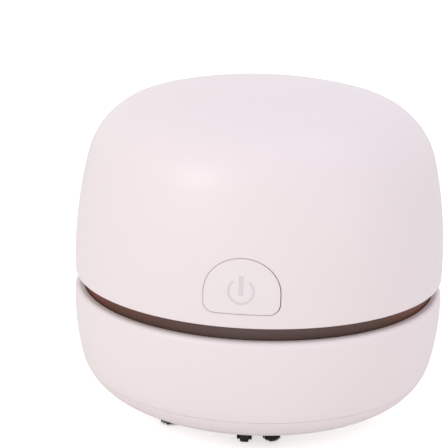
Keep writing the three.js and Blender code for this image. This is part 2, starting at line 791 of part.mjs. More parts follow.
function motorEndCap() {
  const radius = motorRadius - motorFlat - motorCapStep;
  const cap = revolve([
    [0, motorCapZ],
    [radius, motorCapZ],
    [radius, motorCapZ + motorCapHeight - motorCapStep],
    [radius - motorCapStep, motorCapZ + motorCapHeight],
    [0, motorCapZ + motorCapHeight],
  ], midSteps);
  const top = motorCapZ + motorCapHeight;
  const terminals = [-1, 1].map((side) => box(
    side * radius / 2 - terminalWidth / 2, side * radius / 2 + terminalWidth / 2,
    -terminalThickness / 2, terminalThickness / 2, top - bite, top + terminalHeight));
  return join(cap, ...terminals);
}

function cellBody(radius, length) {
  const profile = [
    [0, -length / 2],
    [radius, -length / 2],
    [radius, length / 2],
    [0, length / 2],
  ];
  return revolve(profile, midSteps).rotate([0, 90, 0]).translate(0, cellOffset, cellZ);
}

function batteryCell() {
  const tip = drum(cellRadius / 3, cellLength / 2 - bite, cellLength / 2 + cellTip, tinySteps)
    .rotate([0, 90, 0]).translate(0, cellOffset, cellZ);
  return join(cellBody(cellRadius, cellLength), tip);
}

function controlBoard() {
  const low = plateTopZ + seat;
  const half = boardThickness / 2;
  const board = box(
    -boardWidth / 2, boardWidth / 2, -boardOffset - half, -boardOffset + half, low, low + boardHeight);
  const chip = box(
    -switchSize / 2, switchSize / 2, -boardOffset + half - slip, -boardOffset + half + boardThickness,
    low + boardHeight / 2, low + boardHeight / 2 + switchSize / 2);
  return join(board, chip);
}

const buttonMiddleZ = buttonZ + buttonHeight / 2;

function tactSwitch() {
  const back = boardOffset + boardThickness / 2 + slip;
  const body = box(
    -switchSize / 2, switchSize / 2, -back - switchDepth, -back,
    buttonMiddleZ - switchSize / 2, buttonMiddleZ + switchSize / 2);
  const bore = pushFront(
    circle(0, buttonMiddleZ, switchStemRadius + slip),
    back + switchDepth - switchStemSeat - buttonTravel - slip, back + switchDepth + overrun, 4);
  return body.subtract(bore);
}

// The stem of the switch, which the button's plunger pushes in.
function switchStem() {
  const front = boardOffset + boardThickness / 2 + slip + switchDepth;
  return pushFront(
    circle(0, buttonMiddleZ, switchStemRadius), front - switchStemSeat, front + switchStemLength, 4);
}

const socketBackY = headRadius - socketInset - socketDepth;
const chargeFrontY = Math.sqrt((headInnerRadius - seat) ** 2 - ((chargeBoardWidth + boardRail) / 2) ** 2);

function chargeBoard() {
  const low = plateTopZ + chargeBoardRise;
  return box(
    -chargeBoardWidth / 2, chargeBoardWidth / 2, chargeFrontY - chargeBoardDepth, chargeFrontY,
    low, low + boardThickness);
}

// An outline with round ends, drawn in X and Z.
function stadium(width, height, middleZ) {
  const end = height / 2;
  const shape = new THREE.Shape();
  shape.absarc(width / 2 - end, middleZ, end, -Math.PI / 2, Math.PI / 2, false);
  shape.absarc(end - width / 2, middleZ, end, Math.PI / 2, Math.PI * 1.5, false);
  return shape;
}

const socketMiddleZ = socketZ + socketHeight / 2;

function chargeSocket() {
  const back = socketBackY;
  const front = back + socketDepth;
  const shell = pushFront(stadium(socketWidth, socketHeight, socketMiddleZ), -front, -back);
  const hollow = pushFront(
    stadium(socketWidth - 2 * socketShell, socketHeight - 2 * socketShell, socketMiddleZ),
    -front - overrun, -back - socketShell * 2);
  const tongueHalf = socketWidth / 2 - socketHeight / 2;
  const tongue = box(
    -tongueHalf, tongueHalf, back + socketShell, front - socketTongue,
    socketMiddleZ - socketTongue / 2, socketMiddleZ + socketTongue / 2);
  return join(shell.subtract(hollow), tongue);
}

function headScrew() {
  const headZ = plateZ - slip;
  return revolve([
    [0, headZ - screwHeadHeight],
    [screwHeadRadius / 2, headZ - screwHeadHeight],
    [screwHeadRadius, headZ - screwHeadHeight / 2],
    [screwHeadRadius, headZ],
    [screwRadius, headZ],
    [screwRadius, headZ + screwLength - screwRadius],
    [0, headZ + screwLength],
  ], tinySteps);
}

// Head shell and button

// The button's outline in X and Z: a flat foot, round corners and an arch. It is grown by a margin,
// and its foot is raised, because the retaining flange behind the button has no lip at its foot.
function buttonOutline(margin, footRise = 0) {
  const half = buttonWidth / 2 + margin;
  const corner = buttonCorner + margin;
  const low = buttonZ - margin + footRise;
  const springing = buttonZ + buttonHeight - buttonArch;
  const shape = new THREE.Shape();
  shape.moveTo(corner - half, low);
  shape.lineTo(half - corner, low);
  shape.absarc(half - corner, low + corner, corner, -Math.PI / 2, 0, false);
  shape.lineTo(half, springing);
  shape.absellipse(0, springing, half, buttonArch + margin, 0, Math.PI, false);
  shape.lineTo(-half, low + corner);
  shape.absarc(corner - half, low + corner, corner, Math.PI, Math.PI * 1.5, false);
  return shape;
}

// A curved layer of the head's wall, between two depths below the surface.
function headLayer(outerDepth, innerDepth) {
  const outer = headOutline(outerDepth, rimZ, 4, 1, 1);
  const inner = headOutline(innerDepth, rimZ, 4, 1, 1);
  return revolve([...outer, ...inner.reverse(), [outer[0][0], rimZ]].map(([r, z]) => [r, z]), 2 * roundSteps);
}

function powerButton() {
  const far = headRadius + overrun;
  const near = headRadius / 2;
  const flangeTop = headWall + seat;
  const face = headLayer(0, flangeTop + bite)
    .intersect(pushFront(buttonOutline(0), near, far, 5));
  const flange = headLayer(flangeTop, flangeTop + buttonFlangeThickness)
    .intersect(pushFront(buttonOutline(buttonFlange, buttonFlange), near, far, 4));
  const plunger = pushFront(
    circle(0, buttonMiddleZ, plungerRadius), plungerEnd, headInnerRadius - buttonFlangeThickness, 4);
  return join(face, flange, plunger).subtract(powerMark());
}

// The mark on the button: an open ring and a bar, sunk into the face.
function powerMark() {
  const middle = buttonZ + markRise;
  const gap = turn(markGapHalf);
  const top = Math.PI / 2;
  const open = new THREE.Shape();
  open.absarc(0, middle, markRadius + markStroke / 2, top + gap, top - gap + 2 * Math.PI, false);
  open.absarc(0, middle, markRadius - markStroke / 2, top - gap + 2 * Math.PI, top + gap, true);
  const far = headRadius + overrun;
  const near = headRadius / 2;
  const barLow = buttonZ + markBarRise;
  const bar = box(
    -markBarWidth / 2, markBarWidth / 2, -far, -near, barLow, barLow + markBarHeight);
  const skin = headLayer(-markDepth, markDepth);
  return join(pushFront(open, near, far, 9), bar).intersect(skin);
}

function domeShell() {
  const fillet = headRimFillet;
  const outer = headOutline(0, rimZ + fillet, 2, 6, 3);
  const inner = headOutline(headWall, rimZ + fillet, 2, 3, 1);
  const rimInner = inner[0][0];
  const rimOuter = outer[0][0];
  const shell = revolve([
    [0, crownZ],
    ...outer.reverse().slice(1),
    [rimOuter - fillet / 4, rimZ + fillet / 4],
    [rimOuter - fillet, rimZ],
    [rimInner, rimZ],
    ...inner,
  ]);
  const solidHead = revolve([[0, rimZ], ...headOutline(bite, rimZ, 2, 6, 3)]);
  const postZ = plateTopZ + seat;
  const posts = screwPlaces.map((angle) => {
    const post = drum(postRadius, postZ, postZ + postHeight, smallSteps).translate(screwCircle, 0, 0);
    const rib = box(
      screwCircle + postRadius - bite, headRadius, -ribThickness / 2, ribThickness / 2,
      postZ, postZ + postHeight);
    const hole = drum(screwRadius + slip, postZ - overrun, postZ + postHeight - bite, tinySteps)
      .translate(screwCircle, 0, 0);
    return join(post, rib).subtract(hole).rotate([0, 0, angle]);
  });
  const far = headRadius + overrun;
  const near = headRadius / 2;
  const buttonHole = pushFront(buttonOutline(buttonSeam), near, far, 5);
  const socketHole = pushFront(
    stadium(socketWidth + 2 * seat, socketHeight + 2 * seat, socketMiddleZ), -far, -near);
  return join(shell, join(...posts).intersect(solidHead)).subtract(join(buttonHole, socketHole));
}

// Finishes: every mesh gets a material of its own.
const finishes = {
  shell: () => new THREE.MeshStandardMaterial({ color: 0xe9dfe2, roughness: 0.42 }),
  inner: () => new THREE.MeshStandardMaterial({ color: 0xdedbda, roughness: 0.5 }),
  smoke: () => new THREE.MeshStandardMaterial({ color: 0x54423c, roughness: 0.25 }),
  black: () => new THREE.MeshStandardMaterial({ color: 0x161616, roughness: 0.5 }),
  bristle: () => new THREE.MeshStandardMaterial({ color: 0x0e0e0e, roughness: 0.6 }),
  grey: () => new THREE.MeshStandardMaterial({ color: 0x2f2d2e, roughness: 0.55 }),
  cloth: () => new THREE.MeshStandardMaterial({ color: 0xc9c7c2, roughness: 0.95 }),
  rubber: () => new THREE.MeshStandardMaterial({ color: 0x3a3838, roughness: 0.8 }),
  steel: () => new THREE.MeshStandardMaterial({ color: 0xb9bbbd, roughness: 0.3, metalness: 1 }),
  board: () => new THREE.MeshStandardMaterial({ color: 0x1f5a36, roughness: 0.45 }),
  cell: () => new THREE.MeshStandardMaterial({ color: 0x2d5f9a, roughness: 0.4 }),
};

function piece(name, body, finish) {
  const { vertProperties, triVerts } = body.getMesh();
  const geometry = new THREE.BufferGeometry();
  geometry.setAttribute('position', new THREE.BufferAttribute(new Float32Array(vertProperties), 3));
  geometry.setIndex(new THREE.BufferAttribute(new Uint32Array(triVerts), 1));
  const flat = geometry.toNonIndexed();
  flat.computeVertexNormals();
  const mesh = new THREE.Mesh(flat, finishes[finish]());
  mesh.name = name;
  return mesh;
}

const vacuum = new THREE.Group();

const dustBase = new THREE.Group();
dustBase.add(
  piece('base_bowl', baseBowl(), 'shell'),
  piece('suction_nozzle', suctionNozzle(), 'black'),
  piece('dust_cup', dustCup(), 'smoke'),
);
casterPlaces.forEach((angle, i) => {
  const [x, y] = onCircle(runnerRadius, angle);
  const caster = new THREE.Group();
  caster.position.set(x, y, 0);
  caster.add(
    piece(`caster_fork_${i + 1}`, casterFork(), 'black'),
    piece(`caster_axle_${i + 1}`, casterAxle(), 'steel'),
    piece(`caster_wheel_${i + 1}`, casterWheel(), 'grey'),
  );
  dustBase.add(caster, piece(`brush_strip_${i + 1}`, brushStrip(angle), 'bristle'));
});

const filter = new THREE.Group();
filter.add(
  piece('filter_frame', filterFrame(), 'grey'),
  piece('filter_cloth', filterCloth(), 'cloth'),
);

const head = new THREE.Group();
head.add(
  piece('dome_shell', domeShell(), 'shell'),
  piece('power_button', powerButton(), 'shell'),
  piece('head_chassis', headChassis(), 'inner'),
  piece('seal_ring', sealRing(), 'rubber'),
  piece('fan_housing', fanHousing(), 'inner'),
  piece('impeller', impeller(), 'grey'),
  piece('motor_shaft', motorShaft(), 'steel'),
  piece('motor_can', motorCan(), 'steel'),
  piece('motor_end_cap', motorEndCap(), 'black'),
  piece('battery_cell', batteryCell(), 'cell'),
  piece('control_board', controlBoard(), 'board'),
  piece('tact_switch', tactSwitch(), 'black'),
  piece('switch_stem', switchStem(), 'inner'),
  piece('charge_board', chargeBoard(), 'board'),
  piece('charge_socket', chargeSocket(), 'steel'),
);
screwPlaces.forEach((angle, i) => {
  const [x, y] = onCircle(screwCircle, angle);
  const screw = piece(`head_screw_${i + 1}`, headScrew(), 'steel');
  screw.position.set(x, y, 0);
  head.add(screw);
});

vacuum.add(dustBase, filter, head);

export default vacuum;
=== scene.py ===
# %% [markdown]
# # A desktop mini vacuum cleaner
#
# The machine is two round shells on top of each other. The upper shell holds a motor, a fan and a
# battery cell. The lower one holds a smoke-brown dust cup, and it rolls on three small casters.
# Between the two, a narrow waist lets the air out and shows the wall of the cup.
#
# The CAD model is loaded first, as a fixed frame: every solid is already in its place and at its
# size, in metres. This lesson then puts finely modelled skins over the plain solids, one part at a
# time, and gives each of them a material made of nodes.

# %% The frame
import json
import math

import bmesh
import bpy
from mathutils import Matrix, Vector

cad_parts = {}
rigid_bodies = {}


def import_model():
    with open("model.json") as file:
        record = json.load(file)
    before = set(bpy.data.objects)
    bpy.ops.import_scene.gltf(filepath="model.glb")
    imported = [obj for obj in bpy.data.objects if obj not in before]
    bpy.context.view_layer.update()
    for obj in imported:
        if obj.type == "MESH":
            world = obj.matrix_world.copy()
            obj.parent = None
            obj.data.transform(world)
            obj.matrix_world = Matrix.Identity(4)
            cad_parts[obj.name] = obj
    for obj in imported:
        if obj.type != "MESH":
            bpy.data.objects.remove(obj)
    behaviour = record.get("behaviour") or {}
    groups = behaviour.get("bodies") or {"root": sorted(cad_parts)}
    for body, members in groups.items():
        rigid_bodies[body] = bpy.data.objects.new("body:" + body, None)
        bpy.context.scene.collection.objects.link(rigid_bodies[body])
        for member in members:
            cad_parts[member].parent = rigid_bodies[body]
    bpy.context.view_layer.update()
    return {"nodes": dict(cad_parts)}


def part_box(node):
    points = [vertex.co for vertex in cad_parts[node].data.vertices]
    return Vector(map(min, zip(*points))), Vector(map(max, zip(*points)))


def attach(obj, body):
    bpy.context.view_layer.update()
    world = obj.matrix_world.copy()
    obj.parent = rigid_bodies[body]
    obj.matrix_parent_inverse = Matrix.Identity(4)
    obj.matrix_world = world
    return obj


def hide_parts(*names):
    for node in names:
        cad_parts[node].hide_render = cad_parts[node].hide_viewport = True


for leftover in list(bpy.data.objects):
    bpy.data.objects.remove(leftover)
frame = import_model()
MM = 0.001

# %% [markdown]
# ## Where the main forms are
#
# A piece that stands for a CAD solid has to sit exactly where the solid sits. So the heights and
# the radii are read from the solids, in millimetres, and only the curves that a box can't tell,
# such as the radii of the outline's arcs, are written down here.

# %% Places read from the frame
def reach(node):
    """The lowest and the highest corner of a CAD node, in millimetres."""
    low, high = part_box(node)
    return low / MM, high / MM


dome_low, dome_high = reach("dome_shell")
bowl_low, bowl_high = reach("base_bowl")
cup_low, cup_high = reach("dust_cup")
HEAD_RADIUS = 42.0
RIM_Z = dome_low.z
CROWN_Z = dome_high.z
BASE_RADIUS = HEAD_RADIUS + 0.1
SHOULDER_Z = bowl_high.z
LAND_Z = bowl_low.z
FLOOR_Z = LAND_Z + 0.3
CUP_RADIUS = cup_high.x
CUP_RIM_Z = cup_high.z
CUP_WALL = 1.4
SKIRT_OUTER = CUP_RADIUS - CUP_WALL - 0.3
SKIRT_INNER = SKIRT_OUTER - 1.6
SCREW_CIRCLE = SKIRT_INNER - 2.3
SCREW_ANGLES = (45, 135, 225, 315)
SCREW_HOLE = 1.1
PLATE_Z = CUP_RIM_Z + 1.0
PLATE_TOP_Z = PLATE_Z + 1.8
print("head radius", round(HEAD_RADIUS, 3), "rim", round(RIM_Z, 3), "crown", round(CROWN_Z, 3))
print("base radius", round(BASE_RADIUS, 3), "shoulder", round(SHOULDER_Z, 3))
print("cup radius", round(CUP_RADIUS, 3), "cup rim", round(CUP_RIM_Z, 3))

# %% [markdown]
# ## The camera
#
# The photograph looks down on the machine from a little in front of it, with a long lens: the
# near and the far edge of the waist are almost the same curve. The camera is placed on a circle
# round the machine. After that it is turned a degree or so about its own three axes, because the
# machine stands right of the middle of the picture and leans a little.

# %% Camera
def turned_by(vector, axis, degrees):
    return Matrix.Rotation(math.radians(degrees), 3, axis) @ vector


def photograph_camera(target, distance, elevation, azimuth, yaw, pitch, roll, lens):
    forward = Vector((0, math.cos(math.radians(elevation)), -math.sin(math.radians(elevation))))
    right = Vector((1, 0, 0))
    forward, right = (turned_by(v, Vector((0, 0, 1)), azimuth) for v in (forward, right))
    up = right.cross(forward)
    place = target - forward * distance
    forward, right = (turned_by(v, up, yaw) for v in (forward, right))
    forward, up = (turned_by(v, right, pitch) for v in (forward, up))
    right, up = (turned_by(v, forward, roll) for v in (right, up))
    data = bpy.data.cameras.new("photograph_camera")
    data.lens = lens
    data.clip_start = 0.01
    camera = bpy.data.objects.new("photograph_camera", data)
    axes = Matrix((right, up, -forward)).transposed().to_4x4()
    camera.matrix_world = Matrix.Translation(place) @ axes
    bpy.context.scene.collection.objects.link(camera)
    bpy.context.scene.camera = camera
    print("camera at", [round(v / MM, 1) for v in place], "mm, lens", lens)


photograph_camera(
    target=Vector((0, 0, 37.5)) * MM, distance=315 * MM, elevation=17.08, azimuth=4.3,
    yaw=1.49, pitch=0.94, roll=-1.87, lens=109.8)

# %% [markdown]
# ## Materials by arithmetic
#
# A procedural material is a formula: noise and stripes go in, a colour and a roughness come out.
# Nodes for it are tedious to wire by hand. So one small class stands for a socket, and plus, minus
# and times on it add the Math nodes. Any other kind of node comes from its method `node`.

# %% A socket that can be reckoned with
class Wire:
    """A value on its way through a material's nodes."""

    def __init__(self, tree, socket=None):
        self.tree = tree
        self.socket = socket

    def node(self, kind, settings=None, output=0, stops=None, inputs=None):
        made = self.tree.nodes.new(kind)
        for key, value in (settings or {}).items():
            setattr(made, key, value)
        if stops:
            self.set_stops(made.color_ramp.elements, stops)
        for key, value in (inputs or {}).items():
            self.feed(made.inputs[key], value)
        return Wire(self.tree, made.outputs[output]) if made.outputs else None

    def out(self, name):
        """Another output of the node that this value comes from."""
        return Wire(self.tree, self.socket.node.outputs[name])

    @staticmethod
    def set_stops(elements, stops):
        while len(elements) < len(stops):
            elements.new(1)
        for element, (place, colour) in zip(elements, stops):
            element.position = place
            element.color = linear(*colour)

    def feed(self, target, value):
        if isinstance(value, Wire):
            self.tree.links.new(value.socket, target)
        else:
            target.default_value = value

    def maths(self, operation, *values):
        return self.node("ShaderNodeMath", {"operation": operation}, inputs=dict(enumerate(values)))

    def __add__(self, other):
        return self.maths("ADD", self, other)

    __radd__ = __add__

    def __sub__(self, other):
        return self.maths("SUBTRACT", self, other)

    def __rsub__(self, other):
        return self.maths("SUBTRACT", other, self)

    def __mul__(self, other):
        return self.maths("MULTIPLY", self, other)

    __rmul__ = __mul__

    def __truediv__(self, other):
        return self.maths("DIVIDE", self, other)

    def __rtruediv__(self, other):
        return self.maths("DIVIDE", other, self)

    def clamped(self):
        return self.maths("MINIMUM", self.maths("MAXIMUM", self, 0.0), 1.0)


def linear(red, green, blue):
    """A colour as a screen shows it, 0 to 255, in the light values that Blender reckons with."""
    def one(value):
        share = value / 255
        return share / 12.92 if share <= 0.04045 else ((share + 0.055) / 1.055) ** 2.4
    return one(red), one(green), one(blue), 1.0


# %% The start and the end of every material
def empty_tree(owner):
    owner.use_nodes = True
    owner.node_tree.nodes.clear()
    return Wire(owner.node_tree)


def new_material(name):
    """An empty material, and the place on the object, where all its wires start."""
    material = bpy.data.materials.new(name)
    return material, empty_tree(material).node("ShaderNodeTexCoord", output="Object")


def finish_material(material, colour, roughness, bump=None, bump_depth=0.0, **constants):
    """Joins the wires to the shader. Each constant is set on the shader's own socket."""
    inputs = {"Base Color": colour, "Roughness": roughness}
    if bump is not None:
        inputs["Normal"] = colour.node(
            "ShaderNodeBump", inputs={"Strength": 1.0, "Distance": bump_depth * MM, "Height": bump})
    shader = colour.node("ShaderNodeBsdfPrincipled", inputs=inputs)
    for key, value in constants.items():
        shader.socket.node.inputs[key.replace("_", " ")].default_value = value
    colour.node("ShaderNodeOutputMaterial", inputs={"Surface": shader})
    return material


def mixed(share, *colours):
    """A colour between two others. A plain one is written as a screen shows it, 0 to 255."""
    first, second = (c if isinstance(c, Wire) else linear(*c) for c in colours)
    return share.node("ShaderNodeMix", {"data_type": "RGBA"}, output=2, inputs={
        0: share, 6: first, 7: second})


def noise(place, per_mm, detail=2.0):
    """Cloudy noise, 0 to 1, with so many blobs to the millimetre."""
    return place.node("ShaderNodeTexNoise", inputs={
        "Vector": place, "Scale": per_mm / MM, "Detail": detail, "Roughness": 0.5})


def stretched(place, scale):
    return place.node("ShaderNodeMapping", inputs={"Vector": place, "Scale": scale})


print("colour of mid grey:", [round(v, 3) for v in linear(128, 128, 128)])

# %% [markdown]
# ## Tools for round pieces
#
# Almost every piece of this machine is turned: a line of points is drawn from one edge of the
# piece to the other and swept once round the axis. Blender's Spin does that. The line itself is
# made by extruding a single vertex from point to point, as one would do by hand.

# %% Tools for turned pieces
SMOOTH_STEPS = 192
PLAIN_STEPS = 96
MERGE = 1e-6


def clear_selection():
    if bpy.context.object and bpy.context.object.mode != "OBJECT":
        bpy.ops.object.mode_set(mode="OBJECT")
    bpy.ops.object.select_all(action="DESELECT")


def pick(*pieces):
    """Only these pieces are selected, and the first is the active one."""
    clear_selection()
    for piece in pieces:
        piece.select_set(True)
    bpy.context.view_layer.objects.active = pieces[0]


def fresh(name, primitive, scale=(1, 1, 1), **settings):
    """A new primitive. Its size, turn and place go into the mesh, so that it is at the origin."""
    clear_selection()
    primitive(**settings)
    made = bpy.context.object
    made.name = name
    made.scale = scale
    bpy.ops.object.transform_apply(location=True, rotation=True, scale=True)
    return made


def edit_all():
    """Edit mode, with the whole mesh selected."""
    bpy.ops.object.mode_set(mode="EDIT")
    bpy.ops.mesh.select_all(action="SELECT")


def weld():
    bpy.ops.mesh.select_all(action="SELECT")
    bpy.ops.mesh.remove_doubles(threshold=MERGE)


def end_edit():
    """All faces are turned outwards, and edit mode ends."""
    bpy.ops.mesh.select_all(action="SELECT")
    bpy.ops.mesh.normals_make_consistent(inside=False)
    bpy.ops.object.mode_set(mode="OBJECT")


def extrude(x, y, z):
    """What is selected is extruded by a step in millimetres."""
    bpy.ops.mesh.extrude_region_move(TRANSFORM_OT_translate={"value": (x * MM, y * MM, z * MM)})


def draw_line(name, profile, closed=False):
    """One vertex, extruded along (radius, height) points. Edit mode stays on."""
    points = profile + profile[:1] if closed else profile
    piece = fresh(name, bpy.ops.mesh.primitive_plane_add, size=MM)
    edit_all()
    bpy.ops.mesh.merge(type="CENTER")
    bpy.ops.transform.translate(value=(points[0][0] * MM, 0, points[0][1] * MM))
    for (r0, z0), (r1, z1) in zip(points, points[1:]):
        extrude(r1 - r0, 0, z1 - z0)
    return piece


def turned(name, profile, steps=SMOOTH_STEPS, closed=False):
    """A line of (radius, height) points, spun once round the axis."""
    piece = draw_line(name, profile, closed)
    bpy.ops.mesh.select_all(action="SELECT")
    bpy.ops.mesh.spin(steps=steps, angle=2 * math.pi, center=(0, 0, 0), axis=(0, 0, 1))
    weld()
    end_edit()
    return smooth(piece)


def smooth(piece, sharp=30):
    pick(piece)
    bpy.ops.object.shade_smooth_by_angle(angle=math.radians(sharp))
    return piece


def block(name, low, high):
    """A rectangular block between two corners, for joining and cutting."""
    low, high = Vector(low), Vector(high)
    return fresh(
        name, bpy.ops.mesh.primitive_cube_add, size=1,
        location=(low + high) / 2 * MM, scale=(high - low) * MM)


def shift(piece, x=0.0, y=0.0, z=0.0):
    """Moves the mesh itself, so that the object stays at the origin."""
    piece.data.transform(Matrix.Translation(Vector((x, y, z)) * MM))
    return piece


def turn_mesh(piece, degrees, axis):
    piece.data.transform(Matrix.Rotation(math.radians(degrees), 4, axis))
    return piece


def copy_of(piece, name):
    clear_selection()
    twin = piece.copy()
    twin.data = piece.data.copy()
    twin.name = name
    bpy.context.scene.collection.objects.link(twin)
    return twin


def on_circle(radius, degrees):
    return radius * math.cos(math.radians(degrees)), radius * math.sin(math.radians(degrees))


def drum(name, radius, low, high, x=0.0, y=0.0, steps=48):
    """A plain round block, for cutting."""
    return fresh(
        name, bpy.ops.mesh.primitive_cylinder_add, vertices=steps, radius=radius * MM,
        depth=(high - low) * MM, location=(x * MM, y * MM, (low + high) / 2 * MM))


def part_turned(name, section, start, end, steps):
    """A closed section, spun part of the way round the axis and closed at both ends."""
    piece = draw_line(name, section, closed=True)
    weld()
    bpy.ops.mesh.spin(
        steps=steps, angle=math.radians(start - end), center=(0, 0, 0), axis=(0, 0, 1))
    weld()
    bpy.ops.mesh.fill_holes(sides=0)
    end_edit()
    return turn_mesh(piece, start, "Z")


def modified(piece, kind, **settings):
    """A modifier, set and applied."""
    modifier = piece.modifiers.new(kind, kind)
    for key, value in settings.items():
        setattr(modifier, key, value)
    pick(piece)
    bpy.ops.object.modifier_apply(modifier=modifier.name)
    return piece


def carve(piece, cutter, operation="DIFFERENCE"):
    """A Boolean, applied. The cutter, whose parts mustn't overlap, is thrown away."""
    modified(piece, "BOOLEAN", operation=operation, object=cutter, solver="EXACT")
    bpy.data.objects.remove(cutter)
    return piece


def join(*pieces):
    """Several meshes in one object, which keeps the first one's name."""
    pick(*pieces)
    bpy.ops.object.join()
    return bpy.context.object


def round_the_axis(piece, count, first=0.0):
    """Copies of a piece, evenly spaced round the axis, in one object."""
    copies = [turn_mesh(copy_of(piece, piece.name), first + 360 * i / count, "Z")
              for i in range(count)]
    bpy.data.objects.remove(piece)
    return join(*copies)


def round_edges(piece, width):
    """A Bevel modifier on the sharp edges, applied."""
    return smooth(modified(
        piece, "BEVEL", width=width * MM, segments=2, limit_method="ANGLE",
        angle_limit=math.radians(30), use_clamp_overlap=True))


def dress(piece, material):
    piece.data.materials.clear()
    piece.data.materials.append(material)


def install(piece, body, slot, material, *nodes):
    """A finished piece gets its material, its body and the CAD nodes that it stands for."""
    dress(piece, material)
    piece.data.update()
    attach(piece, body)
    if nodes:
        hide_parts(*nodes)
    open_edges = count_open_edges(piece)
    print(piece.name, "triangles:", sum(len(p.vertices) - 2 for p in piece.data.polygons),
          "open edges:", open_edges)


def install_copies(places, *rows):
    """Copies of every row's model at each place, numbered from 1. The models are thrown away."""
    for number, (x, y) in enumerate(places, 1):
        for model, name, body, slot, material, node in rows:
            piece = shift(copy_of(model, f"{name}_{number}"), x, y)
            install(piece, body.format(number), slot, material, f"{node}_{number}")
    for model, *_ in rows:
        bpy.data.objects.remove(model)


def count_open_edges(piece):
    mesh = bmesh.new()
    mesh.from_mesh(piece.data)
    count = sum(1 for edge in mesh.edges if len(edge.link_faces) != 2)
    mesh.free()
    return count


# %% [markdown]
# ## The outlines of the two shells
#
# Each shell's silhouette is a chain of arcs that run into each other without a kink: a flat side
# arc, a tight corner arc and, on the head, a wide arc over the crown. Where two arcs meet, both
# circles' centres and the joint lie on one line. That line gives the centre of the corner.

# %% Arcs of the shells
HEAD_SIDE_ARC = 98.6
HEAD_CORNER_ARC = 18.4
HEAD_CROWN_ARC = 101.9
HEAD_WIDEST_Z = RIM_Z + 2.75
BASE_SIDE_ARC = 58.2
BASE_INNER_CORNER_ARC = 14.4
BASE_OUTER_CORNER_ARC = 11.6
BASE_WIDEST_Z = SHOULDER_Z - 2.95


def arc(centre, radius, start, end, steps):
    """Points of an arc, with the angles in radians."""
    turns = [start + (end - start) * i / steps for i in range(steps + 1)]
    return [(centre[0] + radius * math.cos(t), centre[1] + radius * math.sin(t)) for t in turns]


def angle_to(start, end):
    return math.atan2(end[1] - start[1], end[0] - start[0])


def corner_centre(side, side_reach, crown, crown_reach):
    """Where two circles meet: one about the side's centre, and one about the crown's."""
    dr, dz = crown[0] - side[0], crown[1] - side[1]
    apart = math.hypot(dr, dz)
    along = (side_reach ** 2 - crown_reach ** 2 + apart ** 2) / (2 * apart)
    across = math.sqrt(side_reach ** 2 - along ** 2)
    r = side[0] + (dr * along - dz * across) / apart
    return r, side[1] + (dz * along + dr * across) / apart


HEAD_SIDE = (HEAD_RADIUS - HEAD_SIDE_ARC, HEAD_WIDEST_Z)
HEAD_CROWN = (0, CROWN_Z - HEAD_CROWN_ARC)
HEAD_CORNER = corner_centre(
    HEAD_SIDE, HEAD_SIDE_ARC - HEAD_CORNER_ARC, HEAD_CROWN, HEAD_CROWN_ARC - HEAD_CORNER_ARC)


def head_outline(depth, from_z, side_steps=10, corner_steps=24, crown_steps=16):
    """The head's wall from a height up to the crown, so far below its surface."""
    low = math.asin((from_z - HEAD_SIDE[1]) / (HEAD_SIDE_ARC - depth))
    turn_low = angle_to(HEAD_SIDE, HEAD_CORNER)
    turn_high = angle_to(HEAD_CROWN, HEAD_CORNER)
    side = arc(HEAD_SIDE, HEAD_SIDE_ARC - depth, low, turn_low, side_steps)
    corner = arc(HEAD_CORNER, HEAD_CORNER_ARC - depth, turn_low, turn_high, corner_steps)
    crown = arc(HEAD_CROWN, HEAD_CROWN_ARC - depth, turn_high, math.pi / 2, crown_steps)
    crown[-1] = (0, crown[-1][1])
    return side + corner[1:] + crown[1:]


BASE_SIDE = (BASE_RADIUS - BASE_SIDE_ARC, BASE_WIDEST_Z)


def base_outline(depth, corner_arc, under_z, from_z, side_steps=6, corner_steps=28):
    """The bowl's wall from a height down to its flat underside, so far below its surface."""
    corner_z = under_z + corner_arc
    across = math.sqrt((BASE_SIDE_ARC - corner_arc) ** 2 - (corner_z - BASE_WIDEST_Z) ** 2)
    centre = (BASE_SIDE[0] + across, corner_z)
    high = math.asin((from_z - BASE_WIDEST_Z) / (BASE_SIDE_ARC - depth))
    turn_high = angle_to(BASE_SIDE, centre)
    side = arc(BASE_SIDE, BASE_SIDE_ARC - depth, high, turn_high, side_steps)
    corner = arc(centre, corner_arc - depth, turn_high, -math.pi / 2, corner_steps)
    return side + corner[1:]


print("head corner centre", [round(v, 2) for v in HEAD_CORNER])

# %% [markdown]
# ## Floor, world and lamps
#
# The machine stands on a white sheet. The sheet is lit like everything else, so that the object
# keeps its soft shadow, but where the camera looks at the bare world it sees plain white. Most of
# the light comes from all around, as in a light tent. A large lamp at the upper left in front
# gives the broad gleam on the shoulder of the head. There are two weak ones too: one on the right,
# and one high up, which is bluish, like daylight from a window. The sheet itself is a trace warmer
# than pure white.

# %% Stage
def white_world():
    world = bpy.data.worlds.new("light_tent")
    bpy.context.scene.world = world
    wires = empty_tree(world)
    rays = wires.node("ShaderNodeLightPath")
    seen = rays.out("Is Camera Ray")
    mirrored = rays.out("Is Glossy Ray")
    passed = rays.out("Is Transmission Ray")
    white = (seen + mirrored + passed).clamped()
    light = white * (1.0 - TENT_STRENGTH) + TENT_STRENGTH
    back = wires.node("ShaderNodeBackground", inputs={"Color": (1, 1, 1, 1), "Strength": light})
    wires.node("ShaderNodeOutputWorld", inputs={"Surface": back})


